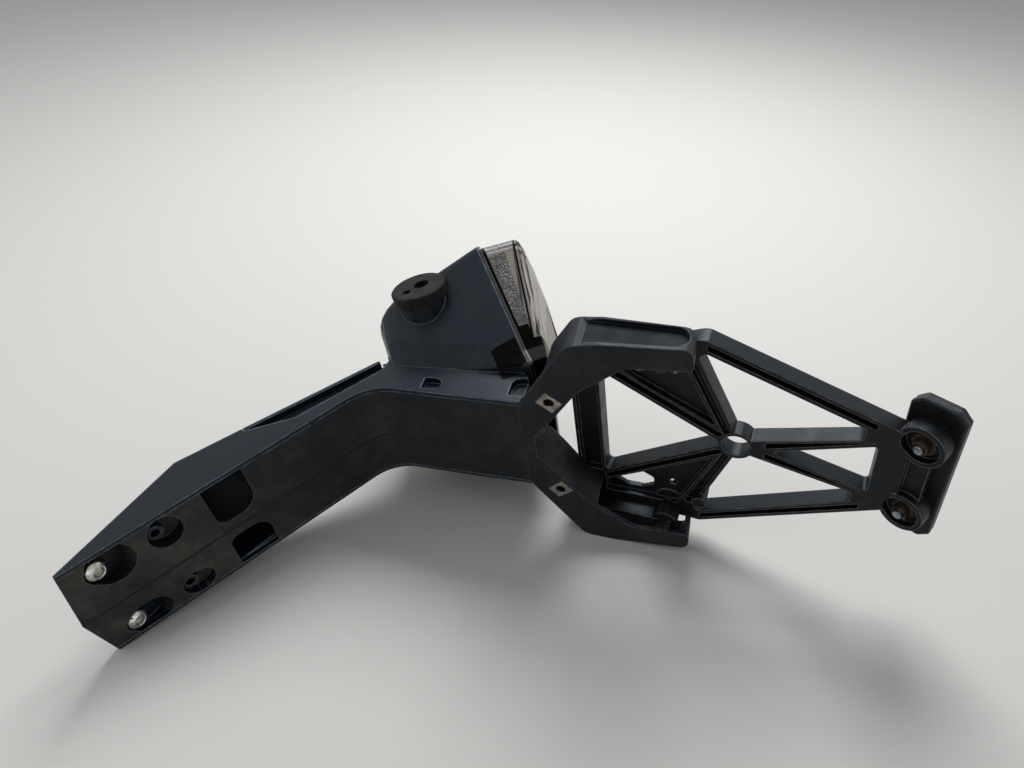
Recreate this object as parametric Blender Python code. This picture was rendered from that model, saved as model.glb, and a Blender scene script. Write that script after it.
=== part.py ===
"""Rear license plate holder of a motorbike, with its tail lamp and reflector.

A hollow arm bolts under the tail by its sloped face, bends down and carries the
lamp housing.  Two mirrored lower covers close it on the wheel side and end in a
fork.  A ribbed carrier for the plate is screwed behind the fork and holds the
reflector at its foot.

The holder is drawn in its riding frame (X to the left, Y rearwards along the arm,
Z away from the wheel) and then laid on its right side, as it rests on a bench.
Lengths are in metres and angles in degrees.
"""
import math

import bmesh
import bpy
from mathutils import Matrix, Vector

for old in list(bpy.data.objects):
    bpy.data.objects.remove(old, do_unlink=True)

# Shared fits and walls
GAP = 0.0003              # between neighbouring pieces
WALL = 0.0025             # moulded wall of the body
COVER_WALL = 0.0026       # moulded wall of the lower covers
FAR = 0.2                 # reach of a cutter that must pass right through

# Arm
ARM_LENGTH = 0.196        # ridge from the front end to the bend
ARM_HALF_WIDTH = 0.036
BEND_ANGLE = 55.0         # drop below the arm
BEND_RADIUS = 0.026       # ridge fillet at the bend
RIDGE_SETBACK = 0.0048    # the side edge lies this far behind the ridge
FRONT_SWEEP = 0.0045      # the front end's corners lie this far behind its ridge
TIP_HEIGHT = 0.0068       # side wall at the front end
MOUNT_LENGTH = 0.0826     # sloped face that meets the tail
MOUNT_HEIGHT = 0.036      # side wall at the end of that face
ARM_END_HEIGHT = 0.0225   # side wall where the lamp housing starts
MOUNT_WALL = 0.004
FRONT_LIP = 0.0125        # front end where the covers fill the wedge
DROP_LENGTH = 0.0945      # from the bend to the root of the fork
DROP_HEIGHT = 0.036

# Side groove and roof
GROOVE_START = 0.124
GROOVE_LENGTH = 0.097
GROOVE_DEPTH = 0.0045
GROOVE_FLOOR_HEIGHT = 0.0135
ROOF_WALL = 0.0022

# Tail bolts and openings in the wheel-side face
BOLT_X = 0.0238
BOLT_Y = 0.0205
BOLT_HOLE = 0.0045        # radius
BOLT_SHANK = 0.0039
BOLT_HEAD = 0.0067
BOLT_HEAD_HEIGHT = 0.0062
BOLT_END_SETBACK = 0.0004 # the shank ends just inside the tail face
BOLT_SOCKET = 0.0033
WELL_RADIUS = 0.0122
WELL_X = 0.0245
WELL_Y = 0.0262
SCREW_WELL_X = 0.0236
SCREW_WELL_Y = 0.0592
SCREW_WELL_RADIUS = 0.0098
SCREW_TUBE_Y = 0.0545     # the screw sits towards the front of its well
SCREW_TUBE_RADIUS = 0.0048
SCREW_TUBE_START = 0.0068
WELL_WALL = 0.0012
SCREW_WELL_FLOOR = 0.0110
SCREW_TUBE_BORE = 0.0028
WINDOW_Y = 0.0842         # cable window behind the screws
WINDOW_LENGTH = 0.0252
WINDOW_INNER_X = 0.0065

# Fork
FORK_HALF_WIDTH = 0.0835
FORK_ROOT = DROP_LENGTH + 0.0059   # bottom of the notch between the two arms
FORK_TIP = DROP_LENGTH + 0.0975
FORK_ELBOW_X = 0.048      # inner corner of an arm
FORK_ELBOW_Y = DROP_LENGTH + 0.0348
FORK_SHOULDER = DROP_LENGTH + 0.0305
FORK_BAND = 0.015         # width of an arm's wheel-side wall
FORK_WALL = 0.0032
NOTCH_HALF_WIDTH = 0.0087
FORK_RECESS_DEPTH = 0.0013
FORK_RIM = 0.0026

# Sheet nuts in the fork root
CLIP_X = 0.0380
CLIP_S = DROP_LENGTH + 0.0177
CLIP_WIDTH = 0.0098
CLIP_LENGTH = 0.0118
CLIP_SHEET = 0.0010
CLIP_TURN = 40.0          # about the fork's normal
CLIP_HOLE = 0.0022
CLIP_BARREL = 0.0031
CLIP_REACH = 0.0055       # how far its tongue and barrel reach into the cover

# Plate carrier
CARRIER_TURN = 61.5       # below the arm
CARRIER_SETBACK = 0.0402  # wheel-side plane behind the bend
CARRIER_START = DROP_LENGTH + 0.0204   # front edge, below the bend
CARRIER_DEPTH = 0.011
CARRIER_HALF_WIDTH = FORK_HALF_WIDTH - 0.006
CARRIER_SHOULDER = 0.076  # where the outer beams start to converge
CARRIER_SKIRT = 0.0247    # half width where the beams end
CARRIER_LENGTH = 0.1950
CHANNEL_END = 0.1680      # the channels of beams and ribs stop here
RIB = 0.0022
WEB_DEPTH = 0.0045        # pockets on the wheel side
WEB = 0.0025
CROSSBAR = 0.0178
HUB_WINDOW_HALF = CARRIER_HALF_WIDTH - 0.0335   # half width of the window ahead of the hub
HUB_Y = 0.0978            # from the front edge
HUB_RADIUS = 0.0102
HUB_BORE = 0.0082
UPPER_RIB = 0.0088        # ribs from the front corners to the hub
MIDDLE_RIB = 0.0085       # ribs from the hub to the shoulders
LOWER_RIB = 0.0070        # ribs from the hub to the foot
BEAM = 0.0082             # outer beams
CARRIER_SCREW_X = FORK_HALF_WIDTH - 0.012
CARRIER_SCREW_Y = 0.0586
CARRIER_SCREW_RADIUS = 0.0024
CARRIER_SCREW_HEAD = 0.0048
CARRIER_BOSS = 0.0094
CARRIER_TUBE = 0.0046     # screw tube inside each fork arm
CARRIER_TUBE_BORE = 0.0020
CARRIER_SCREW_LENGTH = 0.0110
PEG_X = 0.0303 - FORK_HALF_WIDTH
PEG_Y = 0.0788
PEG_RADIUS = 0.0045
SMALL_HOLE_X = CARRIER_HALF_WIDTH - 0.0297
SMALL_HOLE_Y = 0.0612
SMALL_HOLE = 0.0026

# Foot and reflector
FOOT_WALL = 0.0055
NUT_X = 0.0264
BOSS_RADIUS = 0.0125
BOSS_RECESS = 0.0098
BOSS_HEIGHT = 0.0100
FOOT_BAR = 0.0122
FOOT_Y = 0.1935           # centre of the reflector's wheel-side face, in the carrier's axes
FOOT_DEPTH = 0.0054
REFLECTOR_HALF_WIDTH = 0.0488
REFLECTOR_HALF_HEIGHT = 0.0146
REFLECTOR_CHAMFER = 0.0055
REFLECTOR_BASE = 0.0030
REFLECTOR_LENS = 0.0040
STUD_RADIUS = 0.0025
NUT_RADIUS = 0.0046
NUT_HEIGHT = 0.0040
WASHER_RADIUS = 0.0066
WASHER_HEIGHT = 0.0010

# Lamp
LAMP_TOP_Y = ARM_LENGTH + 0.1055   # upper edge of the lens seam
LAMP_TOP_Z = 0.0180
LAMP_TILT = 19.7          # the seam leans back from upright
LAMP_HEIGHT = 0.087
LAMP_HALF_WIDTH = 0.082
LAMP_CORNER = 0.005
LAMP_FOOT_HALF_WIDTH = 0.043
LAMP_LENGTH = 0.074       # housing ahead of the seam
LAMP_SHOULDER = 0.066     # half width over the indicator bosses
LAMP_ROUND = 0.030        # length of the rounded front
RIM_INSET = 0.0012        # the lens lies this far inside the housing's edge
RIM_LENGTH = 0.0042
SEAM = 0.0024             # front edge of the lens behind the housing's edge
LENS_DEPTH = 0.029
LENS_FOOT_DEPTH = 0.012
LENS_CROWN = 0.0085
LENS_WALL = 0.0024
LENS_CLEARANCE = 0.0015   # round the lamp, in the covers
BEZEL_FRONT = 0.0055      # both faces of the bezel, ahead of the seam
BEZEL_BACK = 0.0030
BOARD_WALL = 0.0016
BOARD_INSET = 0.016
GUIDE_INSET = 0.007
GUIDE_WIDTH = 0.0045
GUIDE_END = 0.0078

# Indicator seats
SEAT_X = LAMP_SHOULDER + 0.004
SEAT_Y = LAMP_TOP_Y - 0.0449
SEAT_Z = LAMP_TOP_Z + 0.0039
SEAT_RADIUS = 0.0178
SEAT_HEIGHT = 0.0088
SEAT_TILT = 11.0
SEAT_HOLE = 0.0050
SEAT_HOLE_OFFSET = 0.0025
SEAT_SLOT = 0.0026
SEAT_SLOT_OFFSET = -0.0086
NECK_RADIUS = 0.0158

CIRCLE = 24               # sides of a round piece


def sin(angle):
    return math.sin(math.radians(angle))


def cos(angle):
    return math.cos(math.radians(angle))


# Frames of the riding position
BEND = Vector((0.0, ARM_LENGTH, 0.0))
ARM_FRAME = Matrix.Identity(4)


def frame_of(origin, across, along, away):
    """A 4x4 frame from its origin and its three unit axes."""
    columns = Matrix((across, along, away)).transposed().to_4x4()
    return Matrix.Translation(origin) @ columns


def tilted_frame(origin, turn):
    """Frame whose second axis runs turn degrees below the arm and third one away from the wheel."""
    along = Vector((0.0, cos(turn), -sin(turn)))
    away = Vector((0.0, sin(turn), cos(turn)))
    return frame_of(origin, Vector((1.0, 0.0, 0.0)), along, away)


DROP_FRAME = tilted_frame(BEND, BEND_ANGLE)
BEND_IN_CARRIER = tilted_frame(Vector(), CARRIER_TURN)
CARRIER_FRAME = (Matrix.Translation(BEND) @ BEND_IN_CARRIER
                 @ Matrix.Translation((0.0, CARRIER_START, CARRIER_SETBACK)))
MOUNT_SLOPE = math.degrees(math.atan2(MOUNT_HEIGHT - TIP_HEIGHT, MOUNT_LENGTH - FRONT_SWEEP))
LAMP_FRAME = frame_of(Vector((0.0, LAMP_TOP_Y, LAMP_TOP_Z)), Vector((1.0, 0.0, 0.0)),
                      Vector((0.0, sin(LAMP_TILT), cos(LAMP_TILT))),
                      Vector((0.0, cos(LAMP_TILT), -sin(LAMP_TILT))))
FOOT_FRAME = frame_of(CARRIER_FRAME @ Vector((0.0, FOOT_Y, FOOT_DEPTH)), Vector((1.0, 0.0, 0.0)),
                      Vector((0.0, 0.0, -1.0)), Vector((0.0, 1.0, 0.0)))


def material(name, colour, roughness, metallic=0.0, alpha=1.0):
    made = bpy.data.materials.new(name)
    made.use_nodes = True
    shader = made.node_tree.nodes["Principled BSDF"]
    shader.inputs["Base Color"].default_value = (*colour, 1.0)
    shader.inputs["Roughness"].default_value = roughness
    shader.inputs["Metallic"].default_value = metallic
    shader.inputs["Alpha"].default_value = alpha
    return made


# Meshes

def is_twisted(face):
    """True where a face's corners don't lie in one plane."""
    base = face.verts[0].co
    return any(abs((vert.co - base).dot(face.normal)) > 1e-6 for vert in face.verts)


def new_object(name, verts, faces):
    mesh = bpy.data.meshes.new(name)
    mesh.from_pydata([tuple(v) for v in verts], [], faces)
    mesh.update()
    build = bmesh.new()
    build.from_mesh(mesh)
    bmesh.ops.recalc_face_normals(build, faces=build.faces)
    twisted = [face for face in build.faces if is_twisted(face)]
    bmesh.ops.triangulate(build, faces=twisted)
    build.to_mesh(mesh)
    build.free()
    made = bpy.data.objects.new(name, mesh)
    bpy.context.scene.collection.objects.link(made)
    return made


def loft(name, loops, frame=ARM_FRAME, closed=False):
    """Solid through loops of equally many points, capped at both ends, or closed into a ring."""
    count = len(loops[0])
    verts = [frame @ Vector(point) for loop in loops for point in loop]
    faces = []
    for step in range(len(loops) - 1 + closed):
        low, high = step * count, (step + 1) % len(loops) * count
        for i in range(count):
            j = (i + 1) % count
            faces.append((low + i, low + j, high + j, high + i))
    if not closed:
        faces.append(tuple(reversed(range(count))))
        faces.append(tuple(range(len(verts) - count, len(verts))))
    return new_object(name, verts, faces)


def prism(name, outline, low, high, frame=ARM_FRAME):
    """Outline in a frame's first two axes, run along its third one."""
    return loft(name, [[(x, y, low) for x, y in outline], [(x, y, high) for x, y in outline]], frame)


def side_prism(name, outline, low, high, frame=ARM_FRAME):
    """Outline in a frame's second and third axes, run across it."""
    return loft(name, [[(low, y, z) for y, z in outline], [(high, y, z) for y, z in outline]], frame)


def turned(name, profile, frame, steps=CIRCLE):
    """Solid of revolution about the frame's third axis; profile holds (radius, height)."""
    loops = []
    for radius, height in profile:
        loops.append([(radius * math.cos(math.tau * i / steps), radius * math.sin(math.tau * i / steps),
                       height) for i in range(steps)])
    return loft(name, loops, frame)


def rounded(corners, steps=5):
    """Outline from (x, y, radius) corners, each rounded by an arc."""
    outline = []
    count = len(corners)
    for i, (x, y, radius) in enumerate(corners):
        here = Vector((x, y))
        before = (Vector(corners[i - 1][:2]) - here).normalized()
        after = (Vector(corners[(i + 1) % count][:2]) - here).normalized()
        if radius <= 0.0:
            outline.append((x, y))
            continue
        half = 0.5 * before.angle(after)
        centre = here + (before + after).normalized() * (radius / math.sin(half))
        start = here + before * (radius / math.tan(half)) - centre
        end = here + after * (radius / math.tan(half)) - centre
        first = math.atan2(start.y, start.x)
        swing = math.remainder(math.atan2(end.y, end.x) - first, math.tau)
        for k in range(steps + 1):
            angle = first + swing * k / steps
            outline.append((centre.x + radius * math.cos(angle), centre.y + radius * math.sin(angle)))
    return outline


def boolean(target, tool, operation, solver='MANIFOLD'):
    """Cut, join or intersect at once, and drop the tool; EXACT leaves open edges on these lofts."""
    modifier = target.modifiers.new(operation.lower(), 'BOOLEAN')
    modifier.operation = operation
    modifier.solver = solver
    modifier.object = tool
    bpy.context.view_layer.update()
    result = bpy.data.meshes.new_from_object(target.evaluated_get(bpy.context.evaluated_depsgraph_get()))
    target.modifiers.clear()
    target.data = result
    bpy.data.objects.remove(tool, do_unlink=True)


def cut(target, *tools):
    for tool in tools:
        boolean(target, tool, 'DIFFERENCE')


def join(target, *tools):
    for tool in tools:
        boolean(target, tool, 'UNION')


def mirror_copy(source, name):
    """The same piece on the other side of the mirror plane X = 0."""
    mesh = source.data.copy()
    mesh.transform(Matrix.Scale(-1.0, 4, Vector((1.0, 0.0, 0.0))))
    mesh.flip_normals()
    made = bpy.data.objects.new(name, mesh)
    bpy.context.scene.collection.objects.link(made)
    return made


def axis_frame(origin, direction, across=Vector((0.0, 1.0, 0.0))):
    """Frame with its third axis along direction."""
    away = direction.normalized()
    first = (across - away * across.dot(away)).normalized()
    return frame_of(origin, first, away.cross(first), away)


# Arm body sections

def side_height(y):
    """Height of the arm's side wall at distance y along the arm."""
    knots = [(0.0, TIP_HEIGHT - FRONT_SWEEP * (MOUNT_HEIGHT - TIP_HEIGHT) / (MOUNT_LENGTH - FRONT_SWEEP)),
             (MOUNT_LENGTH, MOUNT_HEIGHT), (ARM_LENGTH, ARM_END_HEIGHT)]
    for (y0, z0), (y1, z1) in zip(knots, knots[1:]):
        if y <= y1:
            return z0 + (z1 - z0) * (y - y0) / (y1 - y0)
    return ARM_END_HEIGHT


def stations(front, drop_end):
    """Sections from front to drop_end: (ridge point, away, distance, height, setback)."""
    tangent = BEND_RADIUS * math.tan(math.radians(BEND_ANGLE) / 2.0)
    made = []
    for y in (front, MOUNT_LENGTH, GROOVE_START, 0.5 * (GROOVE_START + ARM_LENGTH), ARM_LENGTH - tangent):
        made.append((Vector((0.0, y, 0.0)), Vector((0.0, 0.0, 1.0)), y, side_height(y), RIDGE_SETBACK))
    centre = Vector((0.0, ARM_LENGTH - tangent, -BEND_RADIUS))
    steps = 7
    for k in range(1, steps + 1):
        angle = BEND_ANGLE * k / steps
        away = Vector((0.0, sin(angle), cos(angle)))
        height = ARM_END_HEIGHT + (DROP_HEIGHT - ARM_END_HEIGHT) * k / steps
        setback = RIDGE_SETBACK * (1.0 - 0.25 * k / steps)
        made.append((centre + away * BEND_RADIUS, away, ARM_LENGTH, height, setback))
    away = DROP_FRAME.to_3x3() @ Vector((0.0, 0.0, 1.0))
    for s in (0.5 * DROP_LENGTH, 0.8 * DROP_LENGTH, drop_end):
        seam = (LAMP_FRAME.inverted() @ DROP_FRAME @ Vector((0.0, s, DROP_HEIGHT))).z
        height = max(0.5 * DROP_HEIGHT, min(DROP_HEIGHT, DROP_HEIGHT - seam - 2.0 * RIM_LENGTH))
        setback = RIDGE_SETBACK * (0.75 - 0.65 * s / DROP_LENGTH)
        made.append((DROP_FRAME @ Vector((0.0, s, 0.0)), away, ARM_LENGTH + s, height, setback))
    return made


def arm_loop(station, half_width, low, high, sweep=0.0):
    """Loop across the arm between low and high above its V-shaped face; high None is its flat roof."""
    ridge, away, along, height, setback = station
    edge = setback * half_width / ARM_HALF_WIDTH
    points = [(0.0, low), (half_width, edge + low)]
    if high is None:
        top = height + sweep * math.tan(math.radians(MOUNT_SLOPE))
        points.extend([(half_width, top), (-half_width, top)])
    else:
        points.extend([(half_width, edge + high), (0.0, high), (-half_width, edge + high)])
    points.append((-half_width, edge + low))
    loop = []
    for x, rise in points:
        point = ridge + away * rise + Vector((x, 0.0, 0.0))
        point.y += sweep * abs(x) / ARM_HALF_WIDTH
        loop.append(point)
    return loop


# Lamp housing sections

def lamp_half_width(ahead):
    """Half width of the housing at a distance ahead of the lens seam."""
    start = LAMP_LENGTH - LAMP_ROUND
    if ahead <= start:
        return LAMP_HALF_WIDTH + (LAMP_SHOULDER - LAMP_HALF_WIDTH) * ahead / start
    share = (ahead - start) / LAMP_ROUND
    return ARM_HALF_WIDTH + (LAMP_SHOULDER - ARM_HALF_WIDTH) * math.sqrt(max(0.0, 1.0 - share * share))


def lamp_loop(ahead, inset):
    """Loop across the housing, in lamp axes, a given distance ahead of the seam."""
    share = ahead / LAMP_LENGTH
    width = lamp_half_width(ahead) - inset
    foot = LAMP_FOOT_HALF_WIDTH - inset
    bottom = -LAMP_HEIGHT + (LAMP_HEIGHT - 0.040) * share + inset
    belly = width - (width - foot) * (0.93 - 0.30 * share)
    knee = bottom + 0.012 + 0.006 * share
    foot = foot - (foot - ARM_HALF_WIDTH + 0.002) * min(1.0, 1.6 * share) - inset * share
    corners = [(width, -inset, LAMP_CORNER), (belly, knee, 0.014), (foot, bottom, 0.003),
               (-foot, bottom, 0.003), (-belly, knee, 0.014), (-width, -inset, LAMP_CORNER)]
    return [(x, q, -ahead) for x, q in rounded(corners, 4)]


def lamp_solid(name, inset, front, rear):
    """Bowl of the lamp housing, from front ahead of the seam to rear."""
    steps = 10
    shares = [1.0 - math.cos(0.5 * math.pi * k / steps) for k in range(steps + 1)]
    stops = [front * (1.0 - share) for share in shares]
    loops = [lamp_loop(stop, inset) for stop in stops]
    if rear > 0.0:
        loops.append([(x, q, rear) for x, q, _ in loops[-1]])
    return loft(name, loops, LAMP_FRAME)


def seat_frame(side):
    """Frame on the outer face of an indicator seat; side is 1 on the left and -1 on the right."""
    return axis_frame(Vector((side * SEAT_X, SEAT_Y, SEAT_Z)),
                      Vector((side * cos(SEAT_TILT), 0.0, sin(SEAT_TILT))))


def well_frame(x, y):
    """Frame square to the mount face, on its inner side, at a bolt."""
    direction = Vector((0.0, -sin(MOUNT_SLOPE), cos(MOUNT_SLOPE)))
    inner = Vector((x, y, side_height(y) - MOUNT_WALL / cos(MOUNT_SLOPE)))
    return axis_frame(inner, direction)


def disc(name, radius, low, high, frame, steps=CIRCLE):
    return turned(name, [(radius, low), (radius, high)], frame, steps)


def hole(name, radius, frame, reach=FAR):
    return disc(name, radius, -reach, reach, frame)


def tail_body():
    """Side walls, tail face and lamp bowl, moulded as one piece and open to the wheel side."""
    outer = stations(0.0, DROP_LENGTH)
    loops = [arm_loop(s, ARM_HALF_WIDTH, 0.0, None, FRONT_SWEEP if s[2] == 0.0 else 0.0) for s in outer]
    body = loft("tail_body", loops)
    join(body, lamp_solid("bowl", 0.0, LAMP_LENGTH, 0.0))
    for side in (1, -1):
        join(body, disc("neck", NECK_RADIUS, -0.030, -SEAT_HEIGHT - GAP, seat_frame(side)))

    inner_width = ARM_HALF_WIDTH - WALL
    sections = stations(-0.010, DROP_LENGTH + 0.010)
    inside = loft("opening", [arm_loop(s, inner_width, -0.010, COVER_WALL + 0.001) for s in sections])
    hollow = []
    for ridge, away, along, height, setback in stations(FRONT_LIP, DROP_LENGTH + 0.020):
        narrow = GROOVE_DEPTH if along > MOUNT_LENGTH else 0.0002
        roof = MOUNT_WALL if along <= MOUNT_LENGTH else WALL + ROOF_WALL + GAP
        section = (ridge, away, along, height - roof, setback)
        hollow.append(arm_loop(section, inner_width - narrow, 0.001, None))
    join(inside, loft("arm_hollow", hollow))
    join(inside, lamp_solid("bowl_hollow", WALL, LAMP_LENGTH - 2.0 * WALL, 0.010))
    front = [(-0.010, -0.010), (FRONT_LIP, -0.010), (FRONT_LIP, 0.030), (-0.010, 0.030)]
    join(inside, side_prism("lip_space", front, -inner_width, inner_width))
    cut(body, inside)

    cut(body, side_groove(1), side_groove(-1), roof_seat())
    for side in (1, -1):
        seat_back = -SEAT_HEIGHT - GAP
        backing = disc("seat_backing", SEAT_RADIUS + WALL, seat_back - WALL, seat_back, seat_frame(side))
        boolean(backing, lamp_solid("bowl_outside", 0.0, LAMP_LENGTH, 0.0), 'INTERSECT')
        join(body, backing)
        cut(body, disc("seat_space", SEAT_RADIUS + GAP, seat_back, 0.02, seat_frame(side), 40))
    for side in (1, -1):
        bolt = well_frame(side * BOLT_X, BOLT_Y)
        cut(body, hole("bolt_hole", BOLT_HOLE, bolt, 0.02))
        for outline in shelf_holes():
            low, high = sorted((side * (inner_width - 0.002), side * FAR))
            cut(body, side_prism("shelf_hole", outline, low, high, DROP_FRAME))
        seat = seat_frame(side)
        for radius, offset in ((SEAT_HOLE, SEAT_HOLE_OFFSET), (SEAT_SLOT, SEAT_SLOT_OFFSET)):
            cut(body, disc("lead_hole", radius, -0.02, 0.01, seat @ Matrix.Translation((offset, 0.0, 0.0))))
        tube = Matrix.Translation((side * SCREW_WELL_X, SCREW_TUBE_Y, 0.0))
        top = side_height(SCREW_TUBE_Y) - 0.5 * MOUNT_WALL
        low = SCREW_TUBE_START
        join(body, disc("screw_tube", SCREW_TUBE_RADIUS, low, top, tube))
        cut(body, disc("screw_bore", SCREW_TUBE_BORE, low - 0.01, top - 0.004, tube))
    return body


def side_groove(side):
    """Tapering groove along the arm's side, under the roof's lip."""
    end = GROOVE_START + GROOVE_LENGTH
    roof = ROOF_WALL + GAP
    outline = [(GROOVE_START, side_height(GROOVE_START) - roof),
               (GROOVE_START + 0.028, GROOVE_FLOOR_HEIGHT + 0.0012),
               (end - 0.008, GROOVE_FLOOR_HEIGHT - 0.0028), (end, GROOVE_FLOOR_HEIGHT + 0.002),
               (end, ARM_END_HEIGHT + 0.02), (GROOVE_START, side_height(GROOVE_START) + 0.02)]
    low, high = sorted((side * (ARM_HALF_WIDTH - GROOVE_DEPTH), side * (ARM_HALF_WIDTH + 0.004)))
    groove = side_prism("groove", outline, low, high)
    cap = lamp_solid("groove_end", -0.0015, LAMP_LENGTH, 0.0)
    boolean(groove, cap, 'DIFFERENCE')
    return groove


def roof_outline():
    """Wheel-side and upper edges of the roof in the mirror plane."""
    end = GROOVE_START + GROOVE_LENGTH
    slope = (ARM_END_HEIGHT - side_height(GROOVE_START)) / (ARM_LENGTH - GROOVE_START)
    rear = side_height(GROOVE_START) + slope * (end - GROOVE_START)
    return GROOVE_START, end, side_height(GROOVE_START), rear


def roof_seat():
    """Step in the body that takes the roof."""
    start, end, high, low = roof_outline()
    drop = ROOF_WALL + GAP
    outline = [(start, high - drop), (end - 0.004, low - drop), (end - 0.004, low + 0.03),
               (start, high + 0.03)]
    seat = side_prism("roof_seat", outline, -FAR, FAR)
    boolean(seat, lamp_solid("bowl_front", -GAP, LAMP_LENGTH, 0.0), 'DIFFERENCE')
    return seat


def roof():
    """Thin cover on top of the arm; its edge is the lip over the side groove."""
    start, end, high, low = roof_outline()
    outline = [(start + GAP, high - ROOF_WALL), (end - 0.006, low - ROOF_WALL), (end - 0.006, low),
               (start + GAP, high)]
    cover = side_prism("arm_roof", outline, -ARM_HALF_WIDTH, ARM_HALF_WIDTH)
    boolean(cover, lamp_solid("bowl_front", -2.0 * GAP, LAMP_LENGTH, 0.0), 'DIFFERENCE')
    return cover


def shelf_holes():
    """D-shaped drain holes in the shelf beside the lamp, in drop axes."""
    middle = [(0.031, 0.006, 0.001), (0.043, 0.006, 0.005), (0.043, 0.0155, 0.005), (0.031, 0.0155, 0.001)]
    rear = [(0.086, 0.006, 0.001), (0.100, 0.006, 0.001), (0.100, 0.021, 0.001), (0.086, 0.021, 0.006)]
    return rounded(middle), rounded(rear)


# Lower covers

def fork_outline():
    """Half of the fork in drop axes, from its root to the tip, on the left side."""
    outer = FORK_HALF_WIDTH
    inner = outer - FORK_BAND
    side = ARM_HALF_WIDTH - WALL - GAP
    root = DROP_LENGTH - 0.0015
    return rounded([
        (0.5 * GAP, root, 0.0), (side, root, 0.0), (side, DROP_LENGTH + GAP, 0.0),
        (ARM_HALF_WIDTH, DROP_LENGTH + GAP, 0.0), (outer - 0.0025, FORK_SHOULDER, 0.011),
        (outer, FORK_SHOULDER + 0.0175, 0.02), (outer, FORK_TIP, 0.006), (inner + 0.0008, FORK_TIP, 0.003),
        (inner, FORK_TIP - 0.035, 0.012), (FORK_ELBOW_X, FORK_ELBOW_Y, 0.010),
        (NOTCH_HALF_WIDTH + 0.013, FORK_ROOT + 0.0106, 0.004), (NOTCH_HALF_WIDTH, FORK_ROOT, 0.002),
        (0.5 * GAP, FORK_ROOT, 0.0)], 4)


def fork_pocket():
    """Inside of a fork arm: open to the carrier and to the middle."""
    outer = FORK_HALF_WIDTH - FORK_WALL
    end = FORK_TIP - FORK_WALL
    open_x = FORK_ELBOW_X - 0.018
    return rounded([
        (outer, FORK_SHOULDER + 0.0185, 0.02), (outer, end, 0.004), (open_x, end, 0.0),
        (open_x, FORK_ELBOW_Y + 0.0187, 0.0), (FORK_ELBOW_X + 0.002, FORK_ELBOW_Y + 0.0077, 0.004),
        (FORK_ELBOW_X + 0.008, FORK_ELBOW_Y - 0.0013, 0.004),
        (outer - 0.003, FORK_SHOULDER + 0.0035, 0.006)], 4)


def notch_hollow():
    """Space behind the fork's root, inside the walls that line the notch."""
    wall = FORK_ROOT - WALL
    start = DROP_LENGTH - 0.0145
    outline = rounded([(-0.01, start, 0.0), (FORK_ELBOW_X + 0.012, start, 0.0),
                       (FORK_ELBOW_X + 0.012, DROP_LENGTH + 0.0195, 0.004),
                       (FORK_ELBOW_X - 0.008, DROP_LENGTH + 0.0220, 0.006),
                       (NOTCH_HALF_WIDTH + 0.0113, wall + 0.008, 0.004),
                       (NOTCH_HALF_WIDTH - 0.002, wall, 0.002), (-0.01, wall, 0.0)])
    return prism("notch_hollow", outline, COVER_WALL, 0.06, DROP_FRAME)


def well_tube(name, radius, low, high, frame, inside):
    """Wall round a well, from the cover's face to its floor and no further."""
    tube = disc(name, radius + WELL_WALL, low, high, frame)
    boolean(tube, inside, 'INTERSECT')
    return tube


def arm_inside(name):
    """Space that the left cover may fill above its own face."""
    edge = ARM_HALF_WIDTH - WALL - GAP
    sections = stations(0.0, DROP_LENGTH)
    return loft(name, [arm_loop(s, edge, 0.001, None, FRONT_SWEEP if s[2] == 0.0 else 0.0) for s in sections])


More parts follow.
